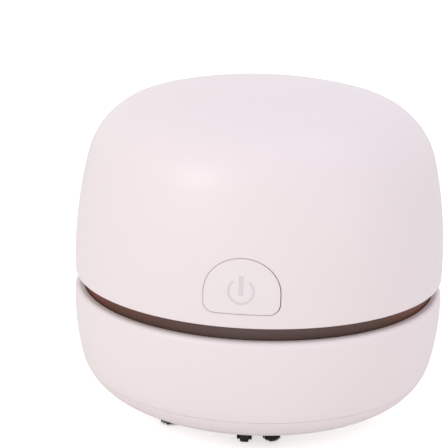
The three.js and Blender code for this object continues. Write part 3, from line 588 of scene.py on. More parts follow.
def white_sheet():
    """The floor shows full white, less the shadow that falls on it. From below it isn't there."""
    sheet = fresh("white_sheet", bpy.ops.mesh.primitive_plane_add, size=4)
    material, place = new_material("white_sheet")
    tone = noise(place, 0.05)
    colour = mixed(tone, (250, 248, 245), (253, 252, 249))
    lit = place.node("ShaderNodeBsdfDiffuse", inputs={"Color": colour})
    glow = place.node("ShaderNodeEmission", inputs={"Color": (1, 1, 1, 1), "Strength": SHEET_GLOW})
    both = place.node("ShaderNodeAddShader", inputs={0: lit, 1: glow})
    bare = place.node("ShaderNodeBsdfDiffuse", inputs={"Color": colour})
    rays = place.node("ShaderNodeLightPath")
    seen = rays.out("Is Camera Ray")
    upper_side = place.node("ShaderNodeMixShader", inputs={0: seen, 1: bare, 2: both})
    below = place.node("ShaderNodeNewGeometry", output="Backfacing")
    clear = place.node("ShaderNodeBsdfTransparent")
    surface = place.node("ShaderNodeMixShader", inputs={0: below, 1: upper_side, 2: clear})
    place.node("ShaderNodeOutputMaterial", inputs={"Surface": surface})
    dress(sheet, material)


def lamp(name, place, target, size, power, colour=(1, 1, 1)):
    """A square lamp, placed in millimetres and aimed at a point."""
    data = bpy.data.lights.new(name, "AREA")
    data.size = size * MM
    data.energy = power
    data.color = colour
    made = bpy.data.objects.new(name, data)
    made.location = Vector(place) * MM
    made.rotation_euler = (Vector(place) - Vector(target)).to_track_quat("Z", "Y").to_euler()
    bpy.context.scene.collection.objects.link(made)


TENT_STRENGTH = 0.785
SHEET_GLOW = 0.62
lamp("key", (-330, -420, 330), (0, 0, 45), 260, 0.62)
lamp("fill", (430, -330, 90), (0, 0, 30), 300, 0.13, (1.0, 0.97, 0.97))
lamp("sky", (160, -60, 480), (0, 0, 60), 300, 0.25, (0.5, 0.52, 1.0))
white_world()
white_sheet()
bpy.context.scene.view_settings.view_transform = "Standard"

# %% [markdown]
# ## The pale plastic of the shells
#
# Both shells and the button are injection-moulded ABS in a pale rose white. The mould was blasted,
# so the surface has a very fine grain: it is too fine to see as a pattern, but it spreads the
# gleam of the lamps. Handling leaves a faint unevenness in the gloss.

# %% Shell material
def satin_plastic(name, colour, shade, roughness, grain_depth=0.006):
    material, place = new_material(name)
    cloud = noise(place, 0.035, detail=3.0)
    tint = mixed((cloud - 0.35) * 1.6, shade, colour)
    gloss = noise(place, 0.11, detail=4.0)
    grain = noise(place, 5.0, detail=1.0)
    return finish_material(
        material, tint, (gloss - 0.5) * 0.08 + roughness, grain, grain_depth,
        Coat_Weight=0.12, Coat_Roughness=0.3, IOR=1.5)


shell_rose = satin_plastic("shell_rose", (242, 230, 231), (240, 228, 229), 0.38)
button_rose = satin_plastic("button_rose", (241, 230, 231), (239, 228, 229), 0.4)
print("materials:", [m.name for m in (shell_rose, button_rose)])

# %% [markdown]
# ## The head's shell
#
# It is one thin moulding, like a bowl turned over. Its section is drawn once round: up the outside,
# over the crown, down the inside and back along the rim, and Spin closes it to a wall. Inside, four
# posts take the screws. Two holes are cut: one for the button, and one for the charging socket.

# %% Head shell
HEAD_WALL = 1.4
RIM_FILLET = 0.3


def dome_profile():
    outside = head_outline(0, RIM_Z + RIM_FILLET)
    inside = head_outline(HEAD_WALL, RIM_Z + RIM_FILLET)
    outer_r, inner_r = outside[0][0], inside[0][0]
    foot = arc((outer_r - RIM_FILLET, RIM_Z + RIM_FILLET), RIM_FILLET, 0, -math.pi / 2, 5)
    lip = arc((inner_r + 0.25, RIM_Z + 0.25), 0.25, -math.pi / 2, -math.pi, 3)
    return outside[::-1] + foot[1:] + lip + inside


def upright_outline(name, width, foot_z, springing_z, arch, corner, y):
    """A flat D in the plane of the front: a round arch above, two round corners below."""
    centre = (0, y * MM, springing_z * MM)
    outline = fresh(
        name, bpy.ops.mesh.primitive_circle_add, vertices=96, radius=1, fill_type="NGON",
        rotation=(math.pi / 2, 0, 0), location=centre)
    edit_all()
    bpy.ops.transform.resize(value=(width / 2 * MM, 1, arch * MM), center_override=centre)
    bpy.ops.mesh.bisect(plane_co=centre, plane_no=(0, 0, 1), clear_inner=True, threshold=MERGE)
    bpy.ops.mesh.select_all(action="DESELECT")
    bpy.ops.object.mode_set(mode="OBJECT")
    low = min(v.co.z for v in outline.data.vertices)
    for edge in outline.data.edges:
        edge.select = all(abs(outline.data.vertices[i].co.z - low) < MERGE for i in edge.vertices)
    for vertex in outline.data.vertices:
        vertex.select = abs(vertex.co.z - low) < MERGE
    bpy.ops.object.mode_set(mode="EDIT")
    drop = (0, 0, (foot_z - springing_z) * MM)
    bpy.ops.mesh.extrude_edges_move(TRANSFORM_OT_translate={"value": drop})
    bpy.ops.mesh.bevel(offset=corner * MM, segments=10, affect="VERTICES")
    bpy.ops.mesh.select_all(action="SELECT")
    bpy.ops.mesh.dissolve_limited(angle_limit=math.radians(1), use_dissolve_boundaries=False)
    bpy.ops.object.mode_set(mode="OBJECT")
    return outline


def push_back(outline, depth):
    """A flat outline becomes a block that runs backwards, along +Y."""
    pick(outline)
    edit_all()
    extrude(0, depth, 0)
    end_edit()
    return outline


button_low, button_high = reach("power_button")
BUTTON_WIDTH = 15.6
BUTTON_FOOT_Z = button_low.z + 0.2
BUTTON_HEIGHT = 11.4
BUTTON_ARCH = 7.2
BUTTON_CORNER = 2.2
print("button node:", [[round(v, 2) for v in corner] for corner in (button_low, button_high)])


# %% Holes in the head shell
BUTTON_SPRINGING_Z = BUTTON_FOOT_Z + BUTTON_HEIGHT - BUTTON_ARCH
BUTTON_SEAM = 0.14
STEP_WIDTH = 0.16
STEP_DEPTH = 0.1
FRONT_Y = -HEAD_RADIUS - 1


def button_block(name, margin, depth, foot_margin=None):
    """A D-shaped block through the front wall, grown by a margin all round, or less at its foot."""
    foot_margin = margin if foot_margin is None else foot_margin
    outline = upright_outline(
        name, BUTTON_WIDTH + 2 * margin, BUTTON_FOOT_Z - foot_margin, BUTTON_SPRINGING_Z,
        BUTTON_ARCH + margin, BUTTON_CORNER + margin, FRONT_Y)
    return push_back(outline, depth)


def pill_block(name, width, height, z, y, depth):
    """A block with round ends, which runs back from y."""
    outline = fresh(
        name, bpy.ops.mesh.primitive_plane_add, size=1, rotation=(math.pi / 2, 0, 0),
        location=(0, y * MM, z * MM), scale=(width * MM, height * MM, 1))
    edit_all()
    bpy.ops.mesh.bevel(offset=0.499 * height * MM, segments=12, affect="VERTICES")
    bpy.ops.object.mode_set(mode="OBJECT")
    return push_back(outline, depth)


def head_layer(name, outer_depth, inner_depth):
    """A closed curved layer of the head's wall, between two depths below its surface."""
    outer = head_outline(outer_depth, RIM_Z, 16, 6, 4)
    inner = head_outline(inner_depth, RIM_Z, 16, 6, 4)
    return turned(name, outer[::-1] + inner)


def screw_posts():
    """Four hollow posts inside the head, each held to the wall by a rib."""
    low, high = PLATE_TOP_Z + 0.3, PLATE_TOP_Z + 9.3
    post = drum("post", 2.4, low, high, SCREW_CIRCLE)
    rib = block("rib", (SCREW_CIRCLE + 2, -0.6, low + 0.06), (HEAD_RADIUS - 0.9, 0.6, high - 0.06))
    carve(post, rib, "UNION")
    carve(post, drum("hole", SCREW_HOLE, low - 1, high - 0.4, SCREW_CIRCLE, steps=32))
    return round_the_axis(post, len(SCREW_ANGLES), SCREW_ANGLES[0])


socket_low, socket_high = reach("charge_socket")
SOCKET_Z = (socket_low.z + socket_high.z) / 2
SOCKET_HOLE = (9.5, 3.8)
dome = turned("head_shell", dome_profile())
carve(dome, screw_posts(), "UNION")
carve(dome, button_block("button_hole", BUTTON_SEAM, 20))
step = button_block("step", BUTTON_SEAM + STEP_WIDTH, 12)
carve(step, head_layer("step_layer", -0.5, STEP_DEPTH), "INTERSECT")
carve(dome, step)
carve(dome, pill_block("socket_hole", *SOCKET_HOLE, SOCKET_Z, HEAD_RADIUS - 6, 8))
smooth(dome)
install(dome, "head", "shell", shell_rose, "dome_shell")

# %% [markdown]
# ## The bowl of the base
#
# The lower shell is one moulding too: a thick floor, a wall that swells to the machine's widest
# circle, and a shoulder that turns in towards the cup. It is spun like the head. A hair-thin slot
# round its lower edge is the line where the mould's halves met. Three sockets for the casters and
# six holes for the tufts are then cut through the floor with round blocks.

# %% Base bowl
BASE_WALL = 2.0
FLOOR_TOP_Z = FLOOR_Z + 2.0
UNDER_Z = FLOOR_Z + 1.2
SHOULDER_FILLET = 1.2
WALL_INNER = CUP_RADIUS + 0.15
RUNNER_RADIUS = 24.4
CASTER_ANGLES = (-90, 30, 150)
# For each tuft of a pair: its angle from the caster, then the height of its tips, how much shorter
# the outer filaments are, and how far they spread.
TUFT_PAIR = ((14.1, 0.4, 0.9, 0.2), (74.1, 0.12, 0.15, 0.36))
TUFT_ANGLES = tuple(angle + one[0] for angle in CASTER_ANGLES for one in TUFT_PAIR)
TUFT_HOLE_RADIUS = 2.08
STEM_HOLE_RADIUS = 1.1
TOWER_RADIUS = 3.85
SWIVEL_RADIUS = 3.07
SWIVEL_ROOF_Z = 6.0
SWIVEL_TOP_Z = 7.5
PARTING_Z = 11.45
PARTING_WIDTH = 0.06
PARTING_DEPTH = 0.25


def parted(outline, z, width, depth):
    """Cuts a narrow slot into the one edge of an outline that crosses a height."""
    below = next(i for i, point in enumerate(outline) if point[1] < z)
    (r_high, z_high), (r_low, z_low) = outline[below - 1], outline[below]
    mouth = [(r_high + (r_low - r_high) * (at - z_high) / (z_low - z_high), at)
             for at in (z, z - width)]
    floor_r = mouth[0][0] - depth
    print("parting line at z", z, "on the edge from", round(z_high, 2), "to", round(z_low, 2))
    slot = [mouth[0], (floor_r, z), (floor_r, z - width), mouth[1]]
    return outline[:below] + slot + outline[below:]


def bowl_profile():
    shoulder_r = BASE_RADIUS - SHOULDER_FILLET
    shoulder = arc((shoulder_r, SHOULDER_Z - SHOULDER_FILLET), SHOULDER_FILLET, math.pi / 2, 0, 10)
    lip = arc((WALL_INNER + 0.12, SHOULDER_Z - 0.12), 0.12, math.pi, math.pi / 2, 4)
    outside = base_outline(0, BASE_OUTER_CORNER_ARC, UNDER_Z, BASE_WIDEST_Z)
    outside = parted(outside, PARTING_Z, PARTING_WIDTH, PARTING_DEPTH)
    straight_z = FLOOR_Z + BASE_INNER_CORNER_ARC - BASE_WALL
    inside = base_outline(BASE_WALL, BASE_INNER_CORNER_ARC, FLOOR_Z, straight_z, 1, 12)[::-1]
    land = [(20.0, UNDER_Z), (19.8, LAND_Z + 0.2), (19.6, LAND_Z),
            (10.6, LAND_Z), (10.3, LAND_Z + 0.3), (10.3, FLOOR_TOP_Z)]
    return lip + shoulder + outside + land + inside + [(WALL_INNER, straight_z + BASE_WALL)]


bowl = turned("base_shell", bowl_profile(), closed=True)
caster_places = [on_circle(RUNNER_RADIUS, angle) for angle in CASTER_ANGLES]
tuft_places = [on_circle(RUNNER_RADIUS, angle) for angle in TUFT_ANGLES]
towers = [drum("tower", TOWER_RADIUS, FLOOR_TOP_Z - 0.4, SWIVEL_TOP_Z, x, y)
          for x, y in caster_places]
carve(bowl, join(*towers), "UNION")
bores = [drum("swivel", SWIVEL_RADIUS, LAND_Z - 1, SWIVEL_ROOF_Z, x, y) for x, y in caster_places]
bores += [drum("tuft_hole", TUFT_HOLE_RADIUS, LAND_Z - 1, FLOOR_TOP_Z + 1, x, y)
          for x, y in tuft_places]
carve(bowl, join(*bores))
stem_holes = [drum("stem_hole", STEM_HOLE_RADIUS, LAND_Z, SWIVEL_TOP_Z + 1.5, x, y, 32)
              for x, y in caster_places]
carve(bowl, join(*stem_holes))
install(bowl, "base", "shell", shell_rose, "base_bowl")

# %% [markdown]
# ## The button
#
# The button's face is a piece of the head's own surface, so that it lies flush in it. That is done
# by keeping only what a D-shaped block and a curved layer of the head's wall have in common. The
# block is remeshed into even small squares and smoothed a little, which rounds its edges as a
# moulding's are. The power mark is a groove with a slightly darker filling, which paints the shade
# in the groove.

# %% Mark on the button
MARK_RADIUS = 2.55
MARK_STROKE = 0.55
MARK_X = -0.15
MARK_GAP = 37
MARK_Z = BUTTON_FOOT_Z + 4.7
MARK_BAR = (1.0, 4.1, BUTTON_FOOT_Z + 3.85)


def mark_block(name, grow=0.0):
    """An open ring and a bar as blocks through the button's face, in the plane of the front."""
    inner, outer = MARK_RADIUS - MARK_STROKE / 2 - grow, MARK_RADIUS + MARK_STROKE / 2 + grow
    section = [(inner, -6), (outer, -6), (outer, 6), (inner, 6)]
    ring = part_turned(name, section, 90 + MARK_GAP, 450 - MARK_GAP, 64)
    shift(turn_mesh(ring, 90, "X"), 0, FRONT_Y + 5, MARK_Z)
    width, height, low = MARK_BAR
    side, high = width / 2 + grow, low + height + grow
    bar = block("bar", (-side, FRONT_Y - 1, low - grow), (side, FRONT_Y + 11, high))
    return shift(join(ring, bar), MARK_X)


# %% Button in place
MARK_DEPTH = 0.12
BUTTON_DEPTH = HEAD_WALL + 0.6
BUTTON_MARGIN = 0.03
BUTTON_X = -0.05
BUTTON_CELL = 0.09
PLUNGER_RADIUS = 1.5
PLUNGER_TOP = HEAD_RADIUS - 1.5 - BUTTON_DEPTH
button = shift(button_block("button", BUTTON_MARGIN, 12), BUTTON_X)
carve(button, head_layer("face_layer", 0, BUTTON_DEPTH), "INTERSECT")
groove = mark_block("groove")
carve(groove, head_layer("groove_layer", -0.5, MARK_DEPTH), "INTERSECT")
carve(button, groove)
modified(button, "REMESH", mode="VOXEL", voxel_size=BUTTON_CELL * MM)
modified(button, "SMOOTH", factor=0.5, iterations=3)
bpy.ops.object.shade_smooth()
flange = button_block("flange", 1.1, 12, 0)
carve(flange, head_layer("flange_layer", BUTTON_DEPTH - 0.3, BUTTON_DEPTH + 0.6), "INTERSECT")
plunger = drum("plunger", PLUNGER_RADIUS, PLUNGER_TOP - 0.6, PLUNGER_TOP, steps=32)
shift(turn_mesh(plunger, 90, "X"), 0, 0, BUTTON_FOOT_Z + BUTTON_HEIGHT / 2)
button = join(button, smooth(join(flange, plunger)))
install(button, "button", "shell", button_rose, "power_button")
# The darker filling is painted shade: it stands for the shade down in the groove of the mark.
groove_shade_fill = mark_block("power_mark", -0.01)
carve(groove_shade_fill, head_layer("groove_shade_layer", 0.04, MARK_DEPTH + 0.1), "INTERSECT")
smooth(groove_shade_fill)
# A painted shade colour for the mark's groove, a little darker than the button.
mark_groove_shade = satin_plastic("mark_groove_shade", (226, 215, 217), (222, 211, 213), 0.5)
install(groove_shade_fill, "button", "shell", mark_groove_shade)

# %% [markdown]
# ## The dust cup
#
# The cup is clear plastic, dyed smoke-brown, so that one can see from outside when it is full. It
# is a plain turned pot with a ledge for the filter near its rim. A chimney stands in the middle of
# its floor: the nozzle comes up through it, and the dust falls over its edge and can't get back.
# Smoke-brown plastic looks redder where daylight shines along the wall, at the two sides. That red
# glow is painted into the material's colour, and so is the shade towards the foot of the wall that
# shows in the waist.

# %% Cup
CUP_FOOT_RADIUS = 37.22
CUP_FLOOR_Z = cup_low.z
CUP_FOOT_FILLET = 4.5
LEDGE_Z = CUP_RIM_Z - 9.6
CHIMNEY_TOP_Z = CUP_FLOOR_Z + CUP_WALL + 8
THROAT_RADIUS = 6.6
NOZZLE_OUTER = 7.8


def cup_profile():
    fillet = (CUP_FOOT_RADIUS - CUP_FOOT_FILLET, CUP_FLOOR_Z + CUP_FOOT_FILLET)
    inner = CUP_RADIUS - CUP_WALL
    outside = [(8.1, CUP_FLOOR_Z + 0.2), (8.3, CUP_FLOOR_Z)]
    outside += arc(fillet, CUP_FOOT_FILLET, -math.pi / 2, 0, 12) + [(CUP_RADIUS, LEDGE_Z)]
    rim = arc((CUP_RADIUS - 0.3, CUP_RIM_Z - 0.3), 0.3, 0, math.pi / 2, 4)
    rim += arc((inner + 0.3, CUP_RIM_Z - 0.3), 0.3, math.pi / 2, math.pi, 4)
    ledge = [(inner, LEDGE_Z), (inner - 1.6, LEDGE_Z), (inner - 1.8, LEDGE_Z - 0.2),
             (inner - 1.8, LEDGE_Z - 1.2), (inner - CUP_WALL / 2, LEDGE_Z - 3.0)]
    inside = arc(fillet, CUP_FOOT_FILLET - CUP_WALL, 0, -math.pi / 2, 10)
    foot = arc((10.6, CUP_FLOOR_Z + CUP_WALL + 1.4), 1.4, -math.pi / 2, -math.pi, 6)
    chimney = [(7.8, CHIMNEY_TOP_Z - 0.3), (7.5, CHIMNEY_TOP_Z), (6.9, CHIMNEY_TOP_Z),
               (THROAT_RADIUS, CHIMNEY_TOP_Z - 0.3), (THROAT_RADIUS, CUP_FLOOR_Z + 3.3),
               (8.1, CUP_FLOOR_Z + 3.3)]
    return outside + rim + ledge + inside + foot + chimney


def smoke_plastic(name):
    """The smoke colour, with a painted red glow at the two sides, where light shines along the
    wall, and painted shade towards the foot of the visible wall.
    """
    material, place = new_material(name)
    axes = place.node("ShaderNodeSeparateXYZ", inputs={"Vector": place})
    across = axes.out("X") / (2 * CUP_RADIUS * MM) + 0.5
    height = axes.out("Z") / MM
    # Across the cup: the smoke colour in the middle, and a painted red glow of light towards the
    # two sides.
    smoke_and_side_glow = place.node("ShaderNodeValToRGB", inputs={"Fac": across}, stops=[
        (0.05, (138, 52, 28)), (0.16, (118, 80, 66)), (0.5, (117, 100, 98)),
        (0.84, (116, 93, 84)), (0.94, (141, 87, 67))])
    flow = noise(place, 0.12)
    # Painted shade, darker towards the foot of the visible wall, plus a random flow in the tone.
    depth = ((32.6 - height) / 2.6).clamped() * 0.6 + flow * 0.15
    colour = mixed(depth, smoke_and_side_glow, (58, 42, 37))
    gloss = noise(place, 0.3, detail=3.0)
    return finish_material(material, colour, gloss * 0.08 + 0.3, Specular_IOR_Level=0.12)


smoke_brown = smoke_plastic("smoke_brown")
cup = turned("dust_cup_smoke", cup_profile(), closed=True)
install(cup, "base", "smoke", smoke_brown, "dust_cup")

# %% [markdown]
# ## Casters
#
# A caster is a black fork on a stem that snaps into its socket, with a small grey wheel on a steel
# pin between the fork's two cheeks. One of each is modelled at the axis, and copies are moved to
# the three places. The wheel trails a little behind the stem, which is what makes it swivel.

# %% Caster pieces
WHEEL_RADIUS = 2.2
WHEEL_HALF = 0.95
TRAIL = 0.4
CHEEK_INNER = 1.05
CHEEK_OUTER = 1.6
CHEEK_RADIUS = 1.6
CHEEK_TOP_Z = 4.9
PIN_RADIUS = 0.45
FORK_TOP_Z = 5.6


def moulded_plastic(name, colour, shade, roughness, grain_depth=0.01, grain_per_mm=3.0):
    material, place = new_material(name)
    cloud = noise(place, 0.4, detail=3.0)
    tint = mixed(cloud, shade, colour)
    scuff = noise(place, 1.4, detail=5.0)
    grain = noise(place, grain_per_mm)
    return finish_material(material, tint, (scuff - 0.5) * 0.25 + roughness, grain, grain_depth)


def brushed_metal(name, shade, colour, per_mm):
    material, place = new_material(name)
    streaks = noise(stretched(place, (0.1, 1, 1)), per_mm, detail=4.0)
    tint = mixed(streaks, shade, colour)
    return finish_material(material, tint, streaks * 0.2 + 0.22, streaks, 0.004, Metallic=1.0)


def brushed_steel(name, per_mm=2.0):
    return brushed_metal(name, (168, 170, 173), (205, 206, 208), per_mm)


def upside_down(profile):
    return [(radius, -height) for radius, height in profile[::-1]]


def on_the_pin(piece):
    """Something round, laid across and moved to where the wheel's pin is."""
    return shift(turn_mesh(piece, 90, "Y"), 0, TRAIL, WHEEL_RADIUS)


def cheek(name, side):
    """One side of the fork: a plate with a round foot about the wheel's pin."""
    plate = fresh(
        name, bpy.ops.mesh.primitive_cylinder_add, vertices=48, radius=CHEEK_RADIUS * MM,
        depth=(CHEEK_OUTER - CHEEK_INNER) * MM, rotation=(0, math.pi / 2, 0),
        location=(side * (CHEEK_INNER + CHEEK_OUTER) / 2 * MM, TRAIL * MM, WHEEL_RADIUS * MM))
    edit_all()
    bpy.ops.mesh.bisect(
        plane_co=(0, 0, WHEEL_RADIUS * MM), plane_no=(0, 0, 1), clear_outer=True, use_fill=True,
        threshold=MERGE)
    extrude(0, 0, CHEEK_TOP_Z - WHEEL_RADIUS)
    bpy.ops.object.mode_set(mode="OBJECT")
    return plate


def caster_fork():
    crown = turned("fork", [
        (0, 4.7), (2.5, 4.7), (2.67, 4.87), (2.67, 5.43), (2.5, FORK_TOP_Z), (1.15, FORK_TOP_Z),
        (1.0, 5.75), (1.0, 7.5), (1.25, 7.5), (1.25, 7.62), (0.8, 8.3), (0, 8.3)], 48)
    fork = join(crown, cheek("left_cheek", -1), cheek("right_cheek", 1))
    round_edges(fork, 0.08)
    return smooth(carve(fork, on_the_pin(drum("pin_hole", PIN_RADIUS + 0.05, -3, 3))))


def caster_wheel():
    """A hub with a hollow face on each side, and a tyre with two fine grooves."""
    half = WHEEL_HALF
    face = [(0.6, -half), (0.95, -half), (1.05, 0.12 - half), (1.5, 0.16 - half),
            (1.62, 0.02 - half)]
    tread = arc((WHEEL_RADIUS - 0.35, -half + 0.35), 0.35, -math.pi / 2, 0, 5)
    groove = [(WHEEL_RADIUS, -0.2), (WHEEL_RADIUS - 0.06, -0.15), (WHEEL_RADIUS, -0.1)]
    low = face + tread + groove
    return on_the_pin(turned("wheel", low + upside_down(low), 64, closed=True))


def wheel_pin():
    low = [(0, -CHEEK_OUTER), (PIN_RADIUS - 0.1, -CHEEK_OUTER), (PIN_RADIUS, 0.1 - CHEEK_OUTER)]
    return on_the_pin(turned("pin", low + upside_down(low), 32))


# %% Casters in place
fork_black = moulded_plastic("fork_black", (26, 26, 27), (18, 18, 19), 0.42)
tyre_grey = moulded_plastic("tyre_grey", (50, 48, 49), (38, 37, 38), 0.62, 0.02, 5.0)
pin_steel = brushed_steel("pin_steel")
install_copies(
    caster_places,
    (caster_fork(), "fork", "caster_{}", "black_plastic", fork_black, "caster_fork"),
    (wheel_pin(), "wheel_pin", "caster_{}", "steel", pin_steel, "caster_axle"),
    (caster_wheel(), "wheel", "wheel_{}", "grey_plastic", tyre_grey, "caster_wheel"))

# %% [markdown]
# ## Brush strips
#
# Between two casters lies a curved black strip with two tufts. Real tufts are bundles of nylon
# filament, folded into a hole. They spread a little towards the desk. In one tuft of each pair the
# outer ones are worn shorter, and the other tuft reaches lower and spreads more. One filament is
# modelled, and copies of it are laid out in the spiral of a sunflower head, which fills a round
# hole evenly with no visible rows.

# %% Filament
FILAMENTS = 110
FILAMENT_RADIUS = 0.105
TUFT_RADIUS = 1.93
STRIP_HALF = 2.8
PLUG_Z = UNDER_Z + 0.1
GOLDEN_TURN = 180 * (3 - math.sqrt(5))


def filament():
    """A thin five-sided thread from the plug down to the desk, in three stretches."""
    thread = fresh(
        "filament", bpy.ops.mesh.primitive_circle_add, vertices=5, radius=FILAMENT_RADIUS * MM,
        fill_type="NGON")
    edit_all()
    for stretch, taper in ((0.4, 1.0), (0.35, 0.95), (0.2, 0.85), (0.05, 0.5)):
        extrude(0, 0, -stretch)
        bpy.ops.transform.resize(value=(taper, taper, 1))
    end_edit()
    return thread


def tuft(name, thread, x, y, top_z, tip_z, wear, lean):
    """Copies of the filament, each leaned outwards and cut to its own length."""
    bundle = bmesh.new()
    for i in range(FILAMENTS):
        share = math.sqrt((i + 0.5) / FILAMENTS)
        dx, dy = on_circle((TUFT_RADIUS - 0.22) * share, GOLDEN_TURN * i)
        end_z = tip_z + wear * share ** 2 + 0.05 * math.sin(12.9 * i)
        first = len(bundle.verts)
        bundle.from_mesh(thread.data)
        bundle.verts.ensure_lookup_table()
        for vertex in bundle.verts[first:]:
            down = -vertex.co.z / MM
            spread = lean * down ** 1.6
            vertex.co.x += (x + dx * (1 + spread)) * MM
            vertex.co.y += (y + dy * (1 + spread)) * MM
            vertex.co.z = (top_z - down * (top_z - end_z)) * MM
    mesh = bpy.data.meshes.new(name)
    bundle.to_mesh(mesh)
    bundle.free()
    made = bpy.data.objects.new(name, mesh)
    bpy.context.scene.collection.objects.link(made)
    return made


def strip_backing(name, start, end):
    """A curved bar with a rectangular section."""
    low, high = FLOOR_TOP_Z + 0.3, FLOOR_TOP_Z + 1.5
    inner, outer = RUNNER_RADIUS - STRIP_HALF, RUNNER_RADIUS + STRIP_HALF
    section = [(inner, low), (outer, low), (outer, high), (inner, high)]
    return round_edges(part_turned(name, section, start, end, 24), 0.15)


# %% Brush strips in place
def nylon(name):
    material, place = new_material(name)
    cloud = noise(place, 2.5)
    tint = mixed(cloud, (12, 12, 13), (30, 29, 30))
    return finish_material(material, tint, cloud * 0.2 + 0.32, Specular_IOR_Level=0.6)


nylon_black = nylon("nylon_black")
strip_black = moulded_plastic("strip_black", (24, 24, 25), (17, 17, 18), 0.5)
STRIP_CLEARANCE = 3.97
CLEAR_ANGLE = 2 * math.degrees(math.asin(STRIP_CLEARANCE / (2 * RUNNER_RADIUS)))
thread = filament()
for number, angle in enumerate(CASTER_ANGLES, 1):
    start, end = angle + CLEAR_ANGLE, angle + 120 - CLEAR_ANGLE
    strip = strip_backing(f"brush_strip_{number}_back", start, end)
    plugs, tufts = [], []
    for step, tip_z, wear, lean in TUFT_PAIR:
        x, y = on_circle(RUNNER_RADIUS, angle + step)
        plugs.append(drum("plug", TUFT_RADIUS, PLUG_Z, FLOOR_TOP_Z + 0.7, x, y))
        tufts.append(tuft("tuft", thread, x, y, PLUG_Z + 0.4, tip_z, wear, lean))
    backing = join(strip, *plugs)
    install(backing, "base", "black_plastic", strip_black)
    bristles = join(*tufts)
    bristles.name = f"tufts_{number}"
    install(bristles, "base", "bristle", nylon_black, f"brush_strip_{number}")
bpy.data.objects.remove(thread)

# %% [markdown]
# ## The filter
#
# The filter sits on the ledge in the cup and keeps the dust out of the fan. Its frame is one thin
# moulding: a rim, a lip with four spokes and a small hub. Under the lip hangs the filter cloth, a
# felt that was cut as a round piece and pressed to a shallow dish, so that it has more area.

# %% Filter frame
FILTER_OUTER = CUP_RADIUS - CUP_WALL - 0.3
FILTER_INNER = FILTER_OUTER - 1.5
FILTER_Z = LEDGE_Z + 0.3
LIP_Z = FILTER_Z + 2.3
LIP_INNER = FILTER_INNER - 2.4
FILTER_SPOKES = 4


def filter_frame():
    top = FILTER_Z + 6.6
    rim = [
        (FILTER_INNER, FILTER_Z), (FILTER_OUTER - 0.3, FILTER_Z), (FILTER_OUTER, FILTER_Z + 0.3),
        *arc((FILTER_OUTER - 0.3, top - 0.3), 0.3, 0, math.pi / 2, 3),
        *arc((FILTER_INNER + 0.3, top - 0.3), 0.3, math.pi / 2, math.pi, 3),
        *arc((FILTER_INNER - 0.4, LIP_Z + 1.4), 0.4, 0, -math.pi / 2, 4),
        *arc((LIP_INNER + 0.2, LIP_Z + 0.8), 0.2, math.pi / 2, math.pi, 3),
        *arc((LIP_INNER + 0.2, LIP_Z + 0.2), 0.2, math.pi, math.pi * 1.5, 3), (FILTER_INNER, LIP_Z)]
    frame_rim = turned("filter_frame_fine", rim, closed=True)
    hub = [(3.4, LIP_Z), (5.0, LIP_Z), (5.0, LIP_Z + 0.8), (4.8, LIP_Z + 1), (3.6, LIP_Z + 1),
           (3.4, LIP_Z + 0.8)]
    spoke = block("spoke", (4.6, -0.8, LIP_Z + 0.06), (LIP_INNER + 0.4, 0.8, LIP_Z + 0.94))
    spokes = round_edges(round_the_axis(spoke, FILTER_SPOKES), 0.18)
    middle = carve(turned("hub", hub, 64, closed=True), spokes, "UNION")
    return smooth(carve(frame_rim, middle, "UNION"))


frame_grey = moulded_plastic("frame_grey", (60, 57, 58), (50, 47, 48), 0.45)
install(filter_frame(), "filter", "grey_plastic", frame_grey, "filter_frame")

# %% Filter cloth
CLOTH_THICKNESS = 0.8
CLOTH_DEPTH = 5.0
CLOTH_TAPER = 7.5


def cloth_dish():
    """The middle layer of the felt, from its hem under the lip to the middle of the dish."""
    middle = LIP_Z - 0.1 - CLOTH_THICKNESS / 2
    neck = LIP_INNER - 0.4
    foot = neck - CLOTH_TAPER
    low = middle - CLOTH_DEPTH + CLOTH_THICKNESS
    line = [(0, low), (foot * 0.35, low), (foot * 0.7, low), (foot - 1.2, low),
            (foot - 0.3, low + 0.1), (foot + 0.5, low + 0.5), (neck - 0.9, middle - 0.6),
            (neck - 0.1, middle - 0.1), (neck + 0.8, middle), (FILTER_INNER - 0.35, middle)]
    dish = turned("filter_felt", line)
    modified(dish, "SOLIDIFY", thickness=CLOTH_THICKNESS * MM, offset=0)
    smooth(dish, 50)
    around = [math.hypot(r1 - r0, z1 - z0) * math.pi * (r0 + r1)
              for (r0, z0), (r1, z1) in zip(line, line[1:])]
    return dish, sum(around) * MM * MM


def felt(name):
    """Needled fibres: two fine noises, one drawn out, lift and darken the surface in threads."""
    material, place = new_material(name)
    bent = noise(place, 0.5).out("Color")
    twisted = place.node("ShaderNodeMix", {"data_type": "VECTOR"}, output=1, inputs={
        0: 0.0012, 4: place, 5: bent})
    threads = noise(stretched(twisted, (1, 0.18, 1)), 5.0, detail=4.0)
    cross = noise(stretched(twisted, (0.18, 1, 1)), 5.0, detail=4.0)
    fibre = threads * 0.5 + cross * 0.5
    dust = noise(place, 0.1, detail=4.0)
    clean = mixed((fibre - 0.3) * 2.0, (176, 173, 167), (222, 220, 214))
    tint = mixed((dust - 0.45) * 1.2, clean, (160, 152, 142))
    return finish_material(material, tint, fibre * 0.1 + 0.85, fibre, 0.12, Sheen_Weight=0.15)


felt_white = felt("felt_white")
dish, felt_area = cloth_dish()
install(dish, "filter", "filter_cloth", felt_white, "filter_cloth")
FELT_CUT = 2 * math.sqrt(felt_area / math.pi)
print("felt cut", round(FELT_CUT / MM, 1), "mm across")

# %% [markdown]
# ## The suction nozzle
#
# The nozzle is the mouth of the machine: a short funnel that flares towards the desk, so that
# crumbs beside it are caught too. A flange holds it between the bowl's floor and the cup.

# %% Nozzle
FLARE_WIDTH = 2.2
FLARE_HEIGHT = 4.4
FLANGE_RADIUS = 14.0


